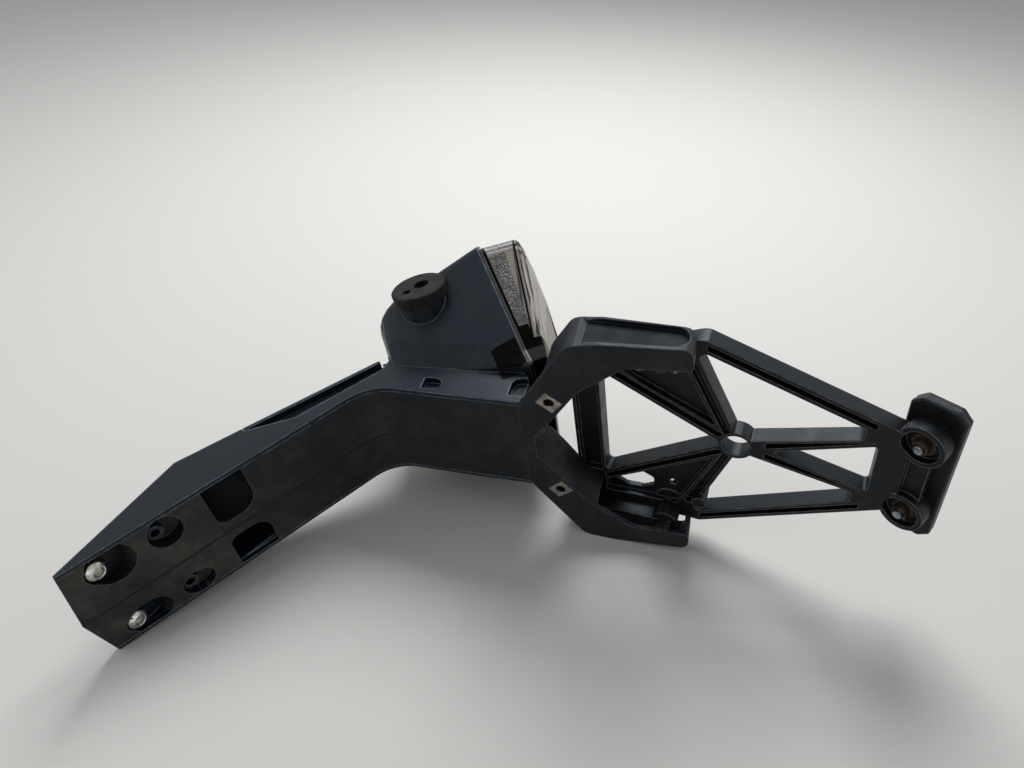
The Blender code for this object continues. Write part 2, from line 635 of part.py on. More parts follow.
def left_cover():
    """Left lower cover: a thin V-shaped skin under the arm that grows into a fork arm."""
    edge = ARM_HALF_WIDTH - WALL - GAP
    sections = stations(0.0, DROP_LENGTH)
    loops = []
    for ridge, away, along, height, setback in sections:
        sweep = FRONT_SWEEP if along == 0.0 else 0.0
        side = setback * edge / ARM_HALF_WIDTH
        middle = 0.5 * GAP
        start = setback * middle / ARM_HALF_WIDTH
        loop = []
        section = (middle, start), (edge, side), (edge, side + COVER_WALL), (middle, start + COVER_WALL)
        for x, rise in section:
            point = ridge + away * rise + Vector((x, sweep * x / ARM_HALF_WIDTH, 0.0))
            loop.append(point)
        loops.append(loop)
    cover = loft("left_cover", loops)

    reach = 0.05
    fork = prism("fork", fork_outline(), 0.0, reach, DROP_FRAME)
    cut(fork, prism("pocket", fork_pocket(), 0.0028, reach + 0.01, DROP_FRAME))
    tube = carrier_screw_frame(1)
    join(fork, disc("tube", CARRIER_TUBE, -0.0200, 0.003, tube))
    cut(fork, disc("tube_bore", CARRIER_TUBE_BORE, -0.0120, 0.02, tube))
    behind = [(-0.25, -GAP), (0.25, -GAP), (0.25, 0.1), (-0.25, 0.1)]
    cut(fork, side_prism("behind", behind, -FAR, FAR, CARRIER_FRAME))
    cut(fork, notch_hollow())
    outline = [(x, q) for x, q, _ in lamp_loop(0.0, -LENS_CLEARANCE)]
    cut(fork, prism("lens_space", outline, -0.012, 0.06, LAMP_FRAME))
    join(cover, fork)

    start = FORK_SHOULDER + 0.005
    racetrack = rounded([(start, FORK_RIM, 0.0075), (FORK_TIP - 0.003, FORK_RIM, 0.0078),
                         (FORK_TIP - 0.003, 0.0180, 0.0078), (start, 0.0235, 0.0078)], 6)
    cut(cover, side_prism("racetrack", racetrack, FORK_HALF_WIDTH - FORK_RECESS_DEPTH, FAR, DROP_FRAME))

    low = -0.02
    well = well_frame(WELL_X, WELL_Y)
    screw_well = Matrix.Translation((SCREW_WELL_X, SCREW_WELL_Y, 0.0))
    join(cover, well_tube("bolt_well_wall", WELL_RADIUS, -0.03, -GAP, well, arm_inside("bolt_side")))
    join(cover, well_tube("screw_well_wall", SCREW_WELL_RADIUS, low, SCREW_WELL_FLOOR + WELL_WALL, screw_well,
                          arm_inside("screw_side")))
    cut(cover, disc("bolt_well", WELL_RADIUS, -0.03, 0.0, well))
    cut(cover, disc("bolt_head_space", BOLT_HEAD + 2.0 * GAP, -0.03, 0.0, well_frame(BOLT_X, BOLT_Y)))
    cut(cover, disc("screw_well", SCREW_WELL_RADIUS, low, SCREW_WELL_FLOOR, screw_well))
    cut(cover, disc("screw_tube_space", SCREW_TUBE_RADIUS + GAP, low, 0.02,
                    Matrix.Translation((SCREW_WELL_X, SCREW_TUBE_Y, 0.0))))
    window = rounded([(WINDOW_INNER_X, WINDOW_Y, 0.006), (edge + 0.01, WINDOW_Y, 0.0),
                      (edge + 0.01, WINDOW_Y + WINDOW_LENGTH, 0.0),
                      (WINDOW_INNER_X, WINDOW_Y + WINDOW_LENGTH, 0.011)])
    cut(cover, prism("window", window, low, 0.02))
    cut(cover, *clip_space())
    return cover


def clip_frame():
    """Frame on the fork root: second axis towards the notch, third one into the cover."""
    return (DROP_FRAME @ Matrix.Translation((CLIP_X, CLIP_S, 0.0))
            @ Matrix.Rotation(math.radians(CLIP_TURN), 4, 'Z'))


def clip_space():
    """Seat of a sheet nut and the slot that its tongue passes through."""
    half, long = 0.5 * CLIP_WIDTH + GAP, 0.5 * CLIP_LENGTH + GAP
    seat = [(-half, -long), (half, -long), (half, long), (-half, long)]
    slot_low = long - CLIP_SHEET - 2.0 * GAP
    slot = [(-half, slot_low), (half, slot_low), (half, long), (-half, long)]
    return (prism("clip_seat", seat, -0.01, CLIP_SHEET + GAP, clip_frame()),
            prism("clip_slot", slot, -0.01, 0.012, clip_frame()),
            hole("clip_hole", CLIP_BARREL + GAP, clip_frame(), 0.012))


def clip_nut():
    """Sheet nut: plate, tongue through the cover's slot, and threaded barrel."""
    half, long = 0.5 * CLIP_WIDTH, 0.5 * CLIP_LENGTH
    frame = clip_frame()
    plate = [(-half, -long), (half, -long), (half, long), (-half, long)]
    nut = prism("left_clip_nut", plate, 0.0, CLIP_SHEET, frame)
    edge = long - CLIP_SHEET
    tongue = [(-half, edge), (half, edge), (half, long), (-half, long)]
    join(nut, prism("tongue", tongue, 0.0, CLIP_REACH, frame))
    join(nut, disc("barrel", CLIP_BARREL, 0.0002, CLIP_REACH, frame, 16))
    cut(nut, disc("bore", CLIP_HOLE, -0.01, 0.02, frame, 16))
    return nut


# Plate carrier

def offset_line(start, end, distance):
    """The line from start to end, moved to its left by distance."""
    start, end = Vector(start), Vector(end)
    direction = (end - start).normalized()
    shift = Vector((-direction.y, direction.x)) * distance
    return start + shift, direction


def region(lines):
    """Corners of the area whose edges lie on the given lines, taken in order."""
    corners = []
    for (p, d), (q, e) in zip(lines, lines[1:] + lines[:1]):
        along = ((q.x - p.x) * e.y - (q.y - p.y) * e.x) / (d.x * e.y - d.y * e.x)
        corners.append(p + d * along)
    return [(corner.x, corner.y) for corner in corners]


def soft(corners, radius):
    return rounded([(x, y, radius) for x, y in corners], 3)


def flip(outline):
    """The same outline on the right side."""
    return [(-x, y) for x, y in reversed(outline)]


def carrier_lines():
    """Edges of the carrier's windows on its left half, as (start, end) in the carrier's plane."""
    upper = ((0.0, HUB_Y - 0.0067), (HUB_WINDOW_HALF, CROSSBAR))
    middle = ((0.0126, HUB_Y - 0.0022), (CARRIER_HALF_WIDTH - 0.0115, HUB_Y - 0.0232))
    inner = ((0.0, HUB_Y + 0.0178), (0.0187, HUB_Y + 0.0727))
    outer = ((0.0066, HUB_Y + 0.0106), (0.0212, HUB_Y + 0.0650))
    beam = ((CARRIER_SKIRT, CARRIER_LENGTH), (CARRIER_HALF_WIDTH, CARRIER_SHOULDER))
    return upper, middle, inner, outer, beam


def carrier_windows():
    """Openings right through the carrier."""
    upper, middle, inner, outer, beam = carrier_lines()
    foot = HUB_Y + 0.0727
    hub_window = soft([(-HUB_WINDOW_HALF, CROSSBAR), (HUB_WINDOW_HALF, CROSSBAR), upper[0]], 0.0025)
    foot_window = soft([inner[0], inner[1], (-inner[1][0], inner[1][1])], 0.0018)
    side = region([offset_line(*middle, 0.0), offset_line(*beam, -BEAM),
                   (Vector((0.0, foot - 0.0075)), Vector((1.0, 0.0))), offset_line(*outer, 0.0)])
    side_window = soft(side, 0.0028)
    return [hub_window, foot_window, side_window, flip(side_window)]


def carrier_pockets():
    """Channels and panels sunk into the wheel side of the carrier, left half."""
    upper, middle = carrier_lines()[:2]
    side_x = CARRIER_HALF_WIDTH - BEAM
    bar = (Vector((0.0, CROSSBAR)), Vector((1.0, 0.0)))
    flank = (Vector((side_x, 0.0)), Vector((0.0, 1.0)))
    centre = (Vector((0.0055, 0.0)), Vector((0.0, 1.0)))
    panel = region([offset_line(*upper, UPPER_RIB), offset_line(*middle, -MIDDLE_RIB), flank, bar])
    upper_channel = region([offset_line(*upper, RIB), centre, offset_line(*upper, UPPER_RIB - RIB), bar])
    end = (Vector((side_x - 0.006, 0.0)), Vector((0.0, 1.0)))
    middle_channel = region([offset_line(*middle, -RIB), end, offset_line(*middle, RIB - MIDDLE_RIB), centre])
    return panel, upper_channel, middle_channel


def carrier_screw_frame(side):
    return CARRIER_FRAME @ Matrix.Translation((side * CARRIER_SCREW_X, CARRIER_SCREW_Y, 0.0))


def plate_carrier():
    """Ribbed X frame behind the fork: windows, sunk panels and channels, hub and screw ears."""
    depth = CARRIER_DEPTH
    half = CARRIER_HALF_WIDTH
    outline = rounded([(half, 0.0, 0.006), (half, CARRIER_SHOULDER, 0.018),
                       (CARRIER_SKIRT, CARRIER_LENGTH, 0.0),
                       (-CARRIER_SKIRT, CARRIER_LENGTH, 0.0), (-half, CARRIER_SHOULDER, 0.018),
                       (-half, 0.0, 0.006)], 5)
    carrier = prism("plate_carrier", outline, 0.0, depth, CARRIER_FRAME)
    for window in carrier_windows():
        cut(carrier, prism("window", window, -0.01, depth + 0.01, CARRIER_FRAME))
    inner, outer, beam = carrier_lines()[2:]
    across = Vector((1.0, 0.0))
    for side in (1, -1):
        for pocket in carrier_pockets():
            shape = soft(pocket, 0.0008)
            shape = shape if side > 0 else flip(shape)
            cut(carrier, prism("pocket", shape, -0.01, WEB_DEPTH, CARRIER_FRAME))
        panel = soft(carrier_pockets()[0], 0.0015)
        panel = panel if side > 0 else flip(panel)
        cut(carrier, prism("rear_pocket", panel, WEB_DEPTH + WEB, depth + 0.01, CARRIER_FRAME))
        stop = (Vector((0.0, CHANNEL_END)), across)
        beam_channel = region([offset_line(*beam, -RIB), (Vector((0.0, CARRIER_SHOULDER + 0.003)), across),
                               offset_line(*beam, RIB - BEAM), stop])
        lower_channel = region([offset_line(*inner, -RIB), stop, offset_line(*outer, RIB * 0.7),
                                (Vector((0.0, HUB_Y + 0.016)), across)])
        for channel in (beam_channel, lower_channel):
            shape = channel if side > 0 else flip(channel)
            cut(carrier, prism("channel", shape, -0.01, WEB_DEPTH, CARRIER_FRAME))
    bar = [(-HUB_WINDOW_HALF, RIB), (HUB_WINDOW_HALF, RIB), (HUB_WINDOW_HALF, CROSSBAR - RIB),
           (-HUB_WINDOW_HALF, CROSSBAR - RIB)]
    cut(carrier, prism("bar_channel", bar, -0.01, WEB_DEPTH, CARRIER_FRAME))
    hub = CARRIER_FRAME @ Matrix.Translation((0.0, HUB_Y, 0.0))
    join(carrier, disc("hub", HUB_RADIUS, 0.0, depth, hub))
    cut(carrier, hole("hub_bore", HUB_BORE, hub, 0.03))
    for side in (1, -1):
        ear = carrier_screw_frame(side)
        join(carrier, disc("ear", CARRIER_BOSS, WEB_DEPTH - 0.001, depth, ear))
        cut(carrier, hole("screw_hole", CARRIER_SCREW_RADIUS, ear, 0.03))
        cut(carrier, disc("screw_seat", CARRIER_SCREW_HEAD + GAP, depth - 0.0045, depth + 0.01, ear))
        flank = CARRIER_HALF_WIDTH - 0.012
        window = rounded([(flank - 0.0225, 0.0406, 0.002), (flank - 0.0180, 0.0486, 0.003),
                          (flank - 0.0055, 0.0486, 0.001), (flank, 0.0400, 0.002), (flank, 0.0320, 0.004),
                          (flank - 0.0055, 0.0238, 0.004), (flank - 0.0125, 0.0232, 0.001)], 3)
        window = window if side > 0 else flip(window)
        cut(carrier, prism("panel_window", window, 0.001, depth + 0.01, CARRIER_FRAME))
        small = CARRIER_FRAME @ Matrix.Translation((side * SMALL_HOLE_X, SMALL_HOLE_Y, 0.0))
        cut(carrier, disc("small_hole", SMALL_HOLE, 0.001, depth + 0.01, small, 16))
    peg = CARRIER_FRAME @ Matrix.Translation((PEG_X, PEG_Y, 0.0))
    join(carrier, disc("peg", PEG_RADIUS, -0.0045, depth - 0.002, peg))
    add_foot(carrier)
    return carrier


def nut_frame(side):
    return FOOT_FRAME @ Matrix.Translation((side * NUT_X, 0.0, 0.0))


def add_foot(carrier):
    """Upright foot of the carrier: two nut bosses and the bar between them."""
    bar = 0.5 * FOOT_BAR
    ridge = 0.0015 - bar
    beyond = [(-0.2, ridge), (0.2, ridge), (0.2, 0.1), (-0.2, 0.1)]
    cut(carrier, prism("beyond_foot", beyond, -0.1, 0.1, FOOT_FRAME))
    join(carrier, prism("bar", [(-NUT_X, -bar), (NUT_X, -bar), (NUT_X, bar), (-NUT_X, bar)],
                        -FOOT_WALL, -GAP, FOOT_FRAME))
    for side in (1, -1):
        join(carrier, disc("boss", BOSS_RADIUS, -BOSS_HEIGHT, -GAP, nut_frame(side), 36))
    for side in (1, -1):
        cut(carrier, disc("recess", BOSS_RECESS, -BOSS_HEIGHT - 0.012, -FOOT_WALL, nut_frame(side), 36))
        cut(carrier, hole("stud_hole", STUD_RADIUS + GAP, nut_frame(side), 0.02))
    wide = [(-0.2, -0.2), (0.2, -0.2), (0.2, 0.2), (-0.2, 0.2)]
    cut(carrier, prism("reflector_side", wide, -GAP, 0.1, FOOT_FRAME))


# Lamp

def lens_depth(q):
    """Depth of the lens wall behind the seam at height q."""
    return LENS_DEPTH + (LENS_FOOT_DEPTH - LENS_DEPTH) * (-q / LAMP_HEIGHT)


def lens_rings(inset, wall):
    """Loops of a lens surface from the seam to its crown."""
    base = [(x, q) for x, q, _ in lamp_loop(0.0, inset + wall)]
    middle = -0.45 * LAMP_HEIGHT
    rings = []
    for share, rise, crown in ((1.0, 0.0, 0.0), (0.988, 0.90, 0.0), (0.965, 0.99, 0.0), (0.90, 1.0, 0.20),
                               (0.70, 1.0, 0.58), (0.45, 1.0, 0.86), (0.15, 1.0, 1.0)):
        ring = []
        for x, q in base:
            depth = SEAM + rise * (lens_depth(q) - wall - SEAM) + crown * LENS_CROWN
            ring.append((x * share, middle + (q - middle) * share, depth))
        rings.append(ring)
    return rings


def lamp_lens():
    """Smoked lens: a shell open at the seam, deeper at its top and crowned behind."""
    outer = lens_rings(RIM_INSET, 0.0)
    inner = lens_rings(RIM_INSET, LENS_WALL)
    return loft("lamp_lens", list(reversed(inner)) + outer, LAMP_FRAME)


def lamp_ring(name, inset, width, low, high):
    """Frame that follows the lamp's outline: inset from it, so wide, between two depths."""
    outer = [(x, q) for x, q, _ in lamp_loop(0.0, inset)]
    inner = [(x, q) for x, q, _ in lamp_loop(0.0, inset + width)]
    loops = [[(x, q, low) for x, q in outer], [(x, q, high) for x, q in outer],
             [(x, q, high) for x, q in inner], [(x, q, low) for x, q in inner]]
    return loft(name, loops, LAMP_FRAME, closed=True)


def lamp_plate(name, inset, low, high):
    """Plate across the bowl, as wide as the bowl is at its front face."""
    outline = [(x, q) for x, q, _ in lamp_loop(-low, inset)]
    return prism(name, outline, low, high, LAMP_FRAME)


def indicator_seat():
    """Rubber seat of the left indicator, with holes for its bolt and its lead."""
    frame = seat_frame(1)
    rim = 0.0008
    profile = [(SEAT_RADIUS - rim, -SEAT_HEIGHT), (SEAT_RADIUS, rim - SEAT_HEIGHT), (SEAT_RADIUS, -rim),
               (SEAT_RADIUS - rim, 0.0)]
    seat = turned("left_indicator_seat", profile, frame, 40)
    for radius, offset in ((SEAT_HOLE, SEAT_HOLE_OFFSET), (SEAT_SLOT, SEAT_SLOT_OFFSET)):
        cut(seat, hole("lead_hole", radius, frame @ Matrix.Translation((offset, 0.0, 0.0)), 0.02))
    return seat


# Fasteners

def mount_bolt():
    """Cap bolt that holds the arm to the tail; its head sits on the inner side of the tail face."""
    top = -GAP - BOLT_HEAD_HEIGHT
    end = MOUNT_WALL - BOLT_END_SETBACK
    edge = 0.0006
    profile = [(BOLT_SOCKET, top + 0.0035), (BOLT_SOCKET, top), (BOLT_HEAD - edge, top),
               (BOLT_HEAD, top + edge),
               (BOLT_HEAD, -GAP), (BOLT_SHANK, -GAP), (BOLT_SHANK, end - edge),
               (BOLT_SHANK - edge, end)]
    return turned("left_mount_bolt", profile, well_frame(BOLT_X, BOLT_Y), 24)


def carrier_screw():
    """Pan screw from behind the carrier into the fork's screw tube."""
    seat = CARRIER_DEPTH - 0.0045
    profile = [(0.0012, seat + 0.0022), (0.0012, seat + 0.0038), (CARRIER_SCREW_HEAD - 0.0008, seat + 0.0038),
               (CARRIER_SCREW_HEAD, seat + 0.0028), (CARRIER_SCREW_HEAD, seat + GAP),
               (CARRIER_TUBE_BORE - GAP, seat + GAP), (CARRIER_TUBE_BORE - GAP, -CARRIER_SCREW_LENGTH)]
    return turned("left_carrier_screw", profile, carrier_screw_frame(1), 20)


def ring(name, outer, inner, low, high, frame, steps=CIRCLE):
    made = disc(name, outer, low, high, frame, steps)
    cut(made, disc("bore", inner, low - 0.01, high + 0.01, frame, 20))
    return made


def reflector_outline(inset):
    wide, high = REFLECTOR_HALF_WIDTH - inset, REFLECTOR_HALF_HEIGHT - inset
    chamfer = REFLECTOR_CHAMFER - 0.4 * inset
    corners = []
    for x, y in ((1, 1), (-1, 1), (-1, -1), (1, -1)):
        first = (x * wide, y * (high - chamfer), 0.0018)
        second = (x * (wide - chamfer), y * high, 0.0018)
        corners.extend((first, second) if x * y > 0 else (second, first))
    return rounded(corners, 3)


def reflector_base():
    """Back of the reflector, with blind seats for its two studs."""
    edge = 0.0008
    loops = [[(x, y, 0.0) for x, y in reflector_outline(edge)],
             [(x, y, edge) for x, y in reflector_outline(0.0)],
             [(x, y, REFLECTOR_BASE) for x, y in reflector_outline(0.0)]]
    base = loft("reflector_base", loops, FOOT_FRAME)
    for side in (1, -1):
        cut(base, disc("stud_seat", STUD_RADIUS + GAP, -0.01, REFLECTOR_BASE - 0.001, nut_frame(side), 20))
    return base


def reflector_lens():
    low = REFLECTOR_BASE + GAP
    loops = [[(x, y, low) for x, y in reflector_outline(0.0003)],
             [(x, y, low + REFLECTOR_LENS - 0.001) for x, y in reflector_outline(0.0003)],
             [(x, y, low + REFLECTOR_LENS) for x, y in reflector_outline(0.0013)]]
    return loft("reflector_lens", loops, FOOT_FRAME)


def reflector_hardware():
    """Left stud, washer and nut of the reflector."""
    frame = nut_frame(1)
    washer_low = -FOOT_WALL - GAP - WASHER_HEIGHT
    nut_low = washer_low - GAP - NUT_HEIGHT
    stud = disc("left_reflector_stud", STUD_RADIUS, nut_low - 0.0018, REFLECTOR_BASE - 0.001 - GAP, frame, 20)
    washer = ring("left_washer", WASHER_RADIUS, STUD_RADIUS + GAP, washer_low, -FOOT_WALL - GAP, frame)
    nut = ring("left_nut", NUT_RADIUS, STUD_RADIUS + GAP, nut_low, nut_low + NUT_HEIGHT, frame, 6)
    return stud, washer, nut


# Rest pose

def points_of(piece, start, end):
    """Vertices of a piece between two distances along the arm."""
    return [vert.co for vert in piece.data.vertices if start <= vert.co.y <= end]


def rest_pose(groups, origin):
    """Turn of the part as it lies on its right side, on the lowest point of each group."""
    down = Vector((-1.0, 0.0, 0.0))
    for _ in range(8):
        a, b, c = (max(group, key=down.dot) for group in groups)
        normal = (b - a).cross(c - a).normalized()
        down = normal if normal.x < 0.0 else -normal
    up = -down
    ahead = CARRIER_FRAME.to_3x3() @ Vector((0.0, 1.0, 0.0))
    ahead = (ahead - up * ahead.dot(up)).normalized()
    turn = Matrix((ahead, up.cross(ahead), up)).to_4x4()
    return turn @ Matrix.Translation(-origin)


def smooth(piece, angle=35.0):
    piece.data.shade_smooth()
    piece.data.set_sharp_from_angle(angle=math.radians(angle))


def main():
    black = material("body_plastic", (0.018, 0.020, 0.024), 0.5)
    carrier_black = material("carrier_plastic", (0.014, 0.014, 0.015), 0.42)
    rubber = material("seat_rubber", (0.016, 0.016, 0.017), 0.75)
    smoke = material("smoked_lens", (0.22, 0.19, 0.17), 0.08, alpha=0.45)
    clear = material("clear_guide", (0.75, 0.76, 0.76), 0.12, alpha=0.6)
    board = material("board", (0.03, 0.12, 0.06), 0.5)
    zinc = material("zinc", (0.62, 0.62, 0.60), 0.28, metallic=1.0)
    rust = material("rusty_steel", (0.20, 0.10, 0.055), 0.75, metallic=0.3)
    worn = material("worn_steel", (0.35, 0.34, 0.32), 0.5, metallic=0.9)
    red = material("red_reflector", (0.50, 0.010, 0.012), 0.12)

    body = tail_body()
    cover = left_cover()
    right_cover = mirror_copy(cover, "right_cover")
    carrier = plate_carrier()
    seat = indicator_seat()
    right_seat = mirror_copy(seat, "right_indicator_seat")
    stud, washer, nut = reflector_hardware()
    bolt, screw, clip = mount_bolt(), carrier_screw(), clip_nut()
    bezel = lamp_plate("lamp_bezel", WALL + 3.0 * GAP, -BEZEL_FRONT, -BEZEL_BACK)
    gasket = lamp_ring("lamp_gasket", 0.0, WALL, GAP, SEAM - GAP)
    finishes = {
        black: [body, cover, right_cover, roof()],
        carrier_black: [carrier, reflector_base(), bezel, gasket],
        rubber: [seat, right_seat],
        smoke: [lamp_lens()],
        clear: [lamp_ring("light_guide", GUIDE_INSET, GUIDE_WIDTH, GAP - BEZEL_BACK, GUIDE_END)],
        board: [lamp_plate("led_board", BOARD_INSET, -BEZEL_FRONT - GAP - BOARD_WALL, -BEZEL_FRONT - GAP)],
        zinc: [bolt, mirror_copy(bolt, "right_mount_bolt"), screw, mirror_copy(screw, "right_carrier_screw")],
        worn: [clip, mirror_copy(clip, "right_clip_nut"), stud, mirror_copy(stud, "right_reflector_stud")],
        rust: [nut, mirror_copy(nut, "right_nut"), washer, mirror_copy(washer, "right_washer")],
        red: [reflector_lens()],
    }

    middle = 0.5 * (FRONT_LIP + MOUNT_LENGTH)
    tail_face = Vector((0.0, middle, side_height(middle)))
    bench = bpy.data.objects.new("rest_pose", None)
    bpy.context.scene.collection.objects.link(bench)
    contacts = (points_of(body, 0.0, MOUNT_LENGTH), points_of(right_cover, ARM_LENGTH, 1.0),
                points_of(right_seat, ARM_LENGTH, 1.0))
    bench.matrix_world = rest_pose(contacts, tail_face)
    for finish, pieces in finishes.items():
        for piece in pieces:
            piece.data.materials.clear()
            piece.data.materials.append(finish)
            smooth(piece)
            piece.parent = bench


main()
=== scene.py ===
"""Looks of the license plate holder: finishes, small trim, floor, light and camera."""
import math

import bmesh
import bpy
from mathutils import Matrix, Vector


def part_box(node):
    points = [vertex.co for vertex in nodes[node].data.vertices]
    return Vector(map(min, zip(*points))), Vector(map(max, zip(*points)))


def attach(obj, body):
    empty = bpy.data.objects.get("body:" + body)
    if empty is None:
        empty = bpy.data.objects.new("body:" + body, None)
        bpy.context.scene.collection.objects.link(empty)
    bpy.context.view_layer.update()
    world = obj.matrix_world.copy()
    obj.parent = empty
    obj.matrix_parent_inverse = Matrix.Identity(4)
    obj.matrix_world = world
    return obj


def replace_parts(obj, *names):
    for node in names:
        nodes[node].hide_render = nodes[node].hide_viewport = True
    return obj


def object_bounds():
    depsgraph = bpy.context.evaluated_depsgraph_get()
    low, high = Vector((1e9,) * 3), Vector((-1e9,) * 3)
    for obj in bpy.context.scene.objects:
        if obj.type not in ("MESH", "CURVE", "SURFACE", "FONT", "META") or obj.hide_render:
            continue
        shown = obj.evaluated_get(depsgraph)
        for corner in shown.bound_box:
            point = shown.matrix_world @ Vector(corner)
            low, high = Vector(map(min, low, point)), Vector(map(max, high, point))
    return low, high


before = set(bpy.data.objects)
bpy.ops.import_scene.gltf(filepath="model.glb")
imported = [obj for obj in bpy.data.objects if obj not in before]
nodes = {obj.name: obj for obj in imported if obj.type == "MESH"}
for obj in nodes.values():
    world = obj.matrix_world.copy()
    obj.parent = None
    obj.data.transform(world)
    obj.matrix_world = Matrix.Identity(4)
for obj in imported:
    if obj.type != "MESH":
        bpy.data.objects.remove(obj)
cad_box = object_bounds()

# Camera, solved from the photograph and written in the frame of the part
CAMERA_AT = Vector((0.2962, -0.1908, 0.3570))
CAMERA_AHEAD = Vector((-0.2816, 0.7259, -0.6274))
CAMERA_DOWN = Vector((0.2419, -0.5791, -0.7786))
CAMERA_LENS = 27.04       # mm
SENSOR_WIDTH = 36.0       # mm

# Floor and light
FLOOR_COLOUR = (0.80, 0.79, 0.77)
FLOOR_MOTTLE = 0.985
FLOOR_HALF = 6.0
WORLD_LIGHT = 0.26
TARGET = Vector((0.19, 0.08, 0.02))
KEY = {"spot": (0.02, 0.85, 1.00), "size": 0.7, "power": 11.5}
FILL = {"spot": (-0.70, -0.45, 0.75), "size": 0.9, "power": 1.6}

# Colours that several finishes share
DUST = (0.064, 0.059, 0.050)
SPECK = (0.26, 0.25, 0.24)
BLACK = (0.0015, 0.0015, 0.0018)
SKY_TINT = (0.72, 0.86, 1.0, 1.0)

# Riding frame in the frame of the part: X left, Y rearwards along the arm, Z away from the wheel
RIDE = Matrix(((-0.11294, 0.46312, -0.87907, -0.00189), (-0.10964, 0.87352, 0.47428, -0.05239),
               (0.98753, 0.14995, -0.04788, -0.00603), (0.0, 0.0, 0.0, 1.0)))
WHEEL_SIDE = -RIDE.to_3x3().col[2]
LEFT = RIDE.to_3x3().col[0]
SIDES = ((1, "left"), (-1, "right"))
REARWARDS, UPWARDS = 1, 2  # axes of the riding frame and of the lamp
SEAM_HALF = 0.0011         # half width of the line between the lower covers

# Carrier as laid out in the solids, and what is finer here
CARRIER_TURN = math.radians(61.5)
CARRIER_ORIGIN = (0.0, 0.28616, -0.08179)
CARRIER_FACE = 0.0002
CARRIER_SQUEEZE = 0.0065   # its front corners and ears lie inside the fork arms
SQUEEZE_ACROSS = (0.050, 0.062)
SQUEEZE_ALONG = (0.062, 0.084)
FLANGE_PATH = [(0.0700, 0.003), (0.0703, 0.055), (0.0706, 0.063)]
FLANGE_WALL = 0.0022
FLANGE_DEPTH = 0.012
SCREW_SEAT = (0.0700, 0.0586)
BOSS_PROFILE = [(0.0030, -0.0080), (0.0030, -0.0115), (0.0076, -0.0115), (0.0082, -0.0109),
                (0.0082, CARRIER_FACE)]

# Reflector
RIM_WIDTH = 0.0014
RIM_WALL = 0.0003
FACE_DEPTH = 0.0012

# Fork arms, with the groove in their outer side, and the sheet nuts in the fork's root
DROP_TURN = math.radians(55.0)
BEND_ORIGIN = (0.0, 0.196, 0.0)
GROOVE_FLOOR = 0.0822      # from the middle plane, in the solids
GROOVE_MORE = 0.0016       # depth that the groove lacks there
CLIP_AT = (0.0380, 0.1122)
BARREL_RADIUS = 0.0024
BARREL_WIDENING = 1.5
SHADE_RADIUS = 0.0028
SHADE_DEPTHS = (0.0005, 0.0010)

# Tail bolts, as radii and heights; heights run from the seat of the head down the shank
BOLT_TURN = math.radians(20.5)
BOLT_ORIGIN = (0.0238, 0.0205, 0.00851)
HEAD_RADIUS = 0.0067
HEAD_EDGE = -0.0012
HEAD_DOME = 0.0050
SOCKET_PROFILE = [(0.0026, -0.0032), (0.0030, -0.0052)]
SHANK_PROFILE = [(HEAD_RADIUS, -0.0003), (0.0039, -0.0003), (0.0039, 0.0030), (0.0033, 0.0036)]

# Lamp, in its axes: across, rearwards of the seam, and up from the seam's top
LAMP_TURN = math.radians(19.7)
LAMP_ORIGIN = (0.0, 0.3015, 0.0180)
LENS_FLANGE = (0.0046, 0.0040)
LENS_FRONT = (0.0110, 0.0100)
LENS_FRONT_TOP = (-0.0575, -0.0600)
LENS_FOOT_TOP = (-0.0670, -0.0690)
STRIPE_LEAN = 0.2308       # of the lens's rear corner against the seam
STRIPE_AT = 0.0247
STRIPE_HALF = 0.0011
GUIDE_PATH = [(0.0455, -0.0590), (0.0560, -0.0400), (0.0660, -0.0215), (0.0728, -0.0095), (0.0700, -0.0072)]
GUIDE_START = 0.0042
GUIDE_DEPTHS = (0.0115, 0.0170)   # at the guide's foot and at the seam's top
GUIDE_FOOT = -0.059
GUIDE_INNER = 0.945
GUIDE_DROP = 0.0028
GUIDE_SLANT = 0.0008
CLOUDY_BELOW = (-0.020, -0.058)
BLOCK_SIDE = [(0.0462, -0.0600), (0.0392, -0.0745), (0.0370, -0.0805)]
BLOCK_DEPTHS = (0.0006, 0.0080)
# Black sheets of painted shade on the housing's lower corners beside the seam
POCKET_CUTS = [(REARWARDS, -0.0175, -1), (REARWARDS, -0.0012, 1),
               (UPWARDS, -0.0660, 1), (UPWARDS, -0.0835, -1)]
POCKET_FROM_MIDDLE = 0.030
POCKET_FACING = 0.3
POCKET_PROUD = 0.0002
POCKET_THICK = 0.0004

SMOOTH_ANGLE = math.radians(35.0)
TOLERANCE = 0.00006


def axes_at(origin, turn):
    """Axes in the mirror plane: across, turned along, and away, in the frame of the part."""
    along = Vector((0.0, math.cos(turn), -math.sin(turn)))
    away = Vector((0.0, math.sin(turn), math.cos(turn)))
    turned = Matrix((Vector((1.0, 0.0, 0.0)), along, away)).transposed().to_4x4()
    return RIDE @ Matrix.Translation(origin) @ turned


CARRIER = axes_at(CARRIER_ORIGIN, CARRIER_TURN)
DROP = axes_at(BEND_ORIGIN, DROP_TURN)
LAMP = axes_at(LAMP_ORIGIN, LAMP_TURN)


# Node helpers

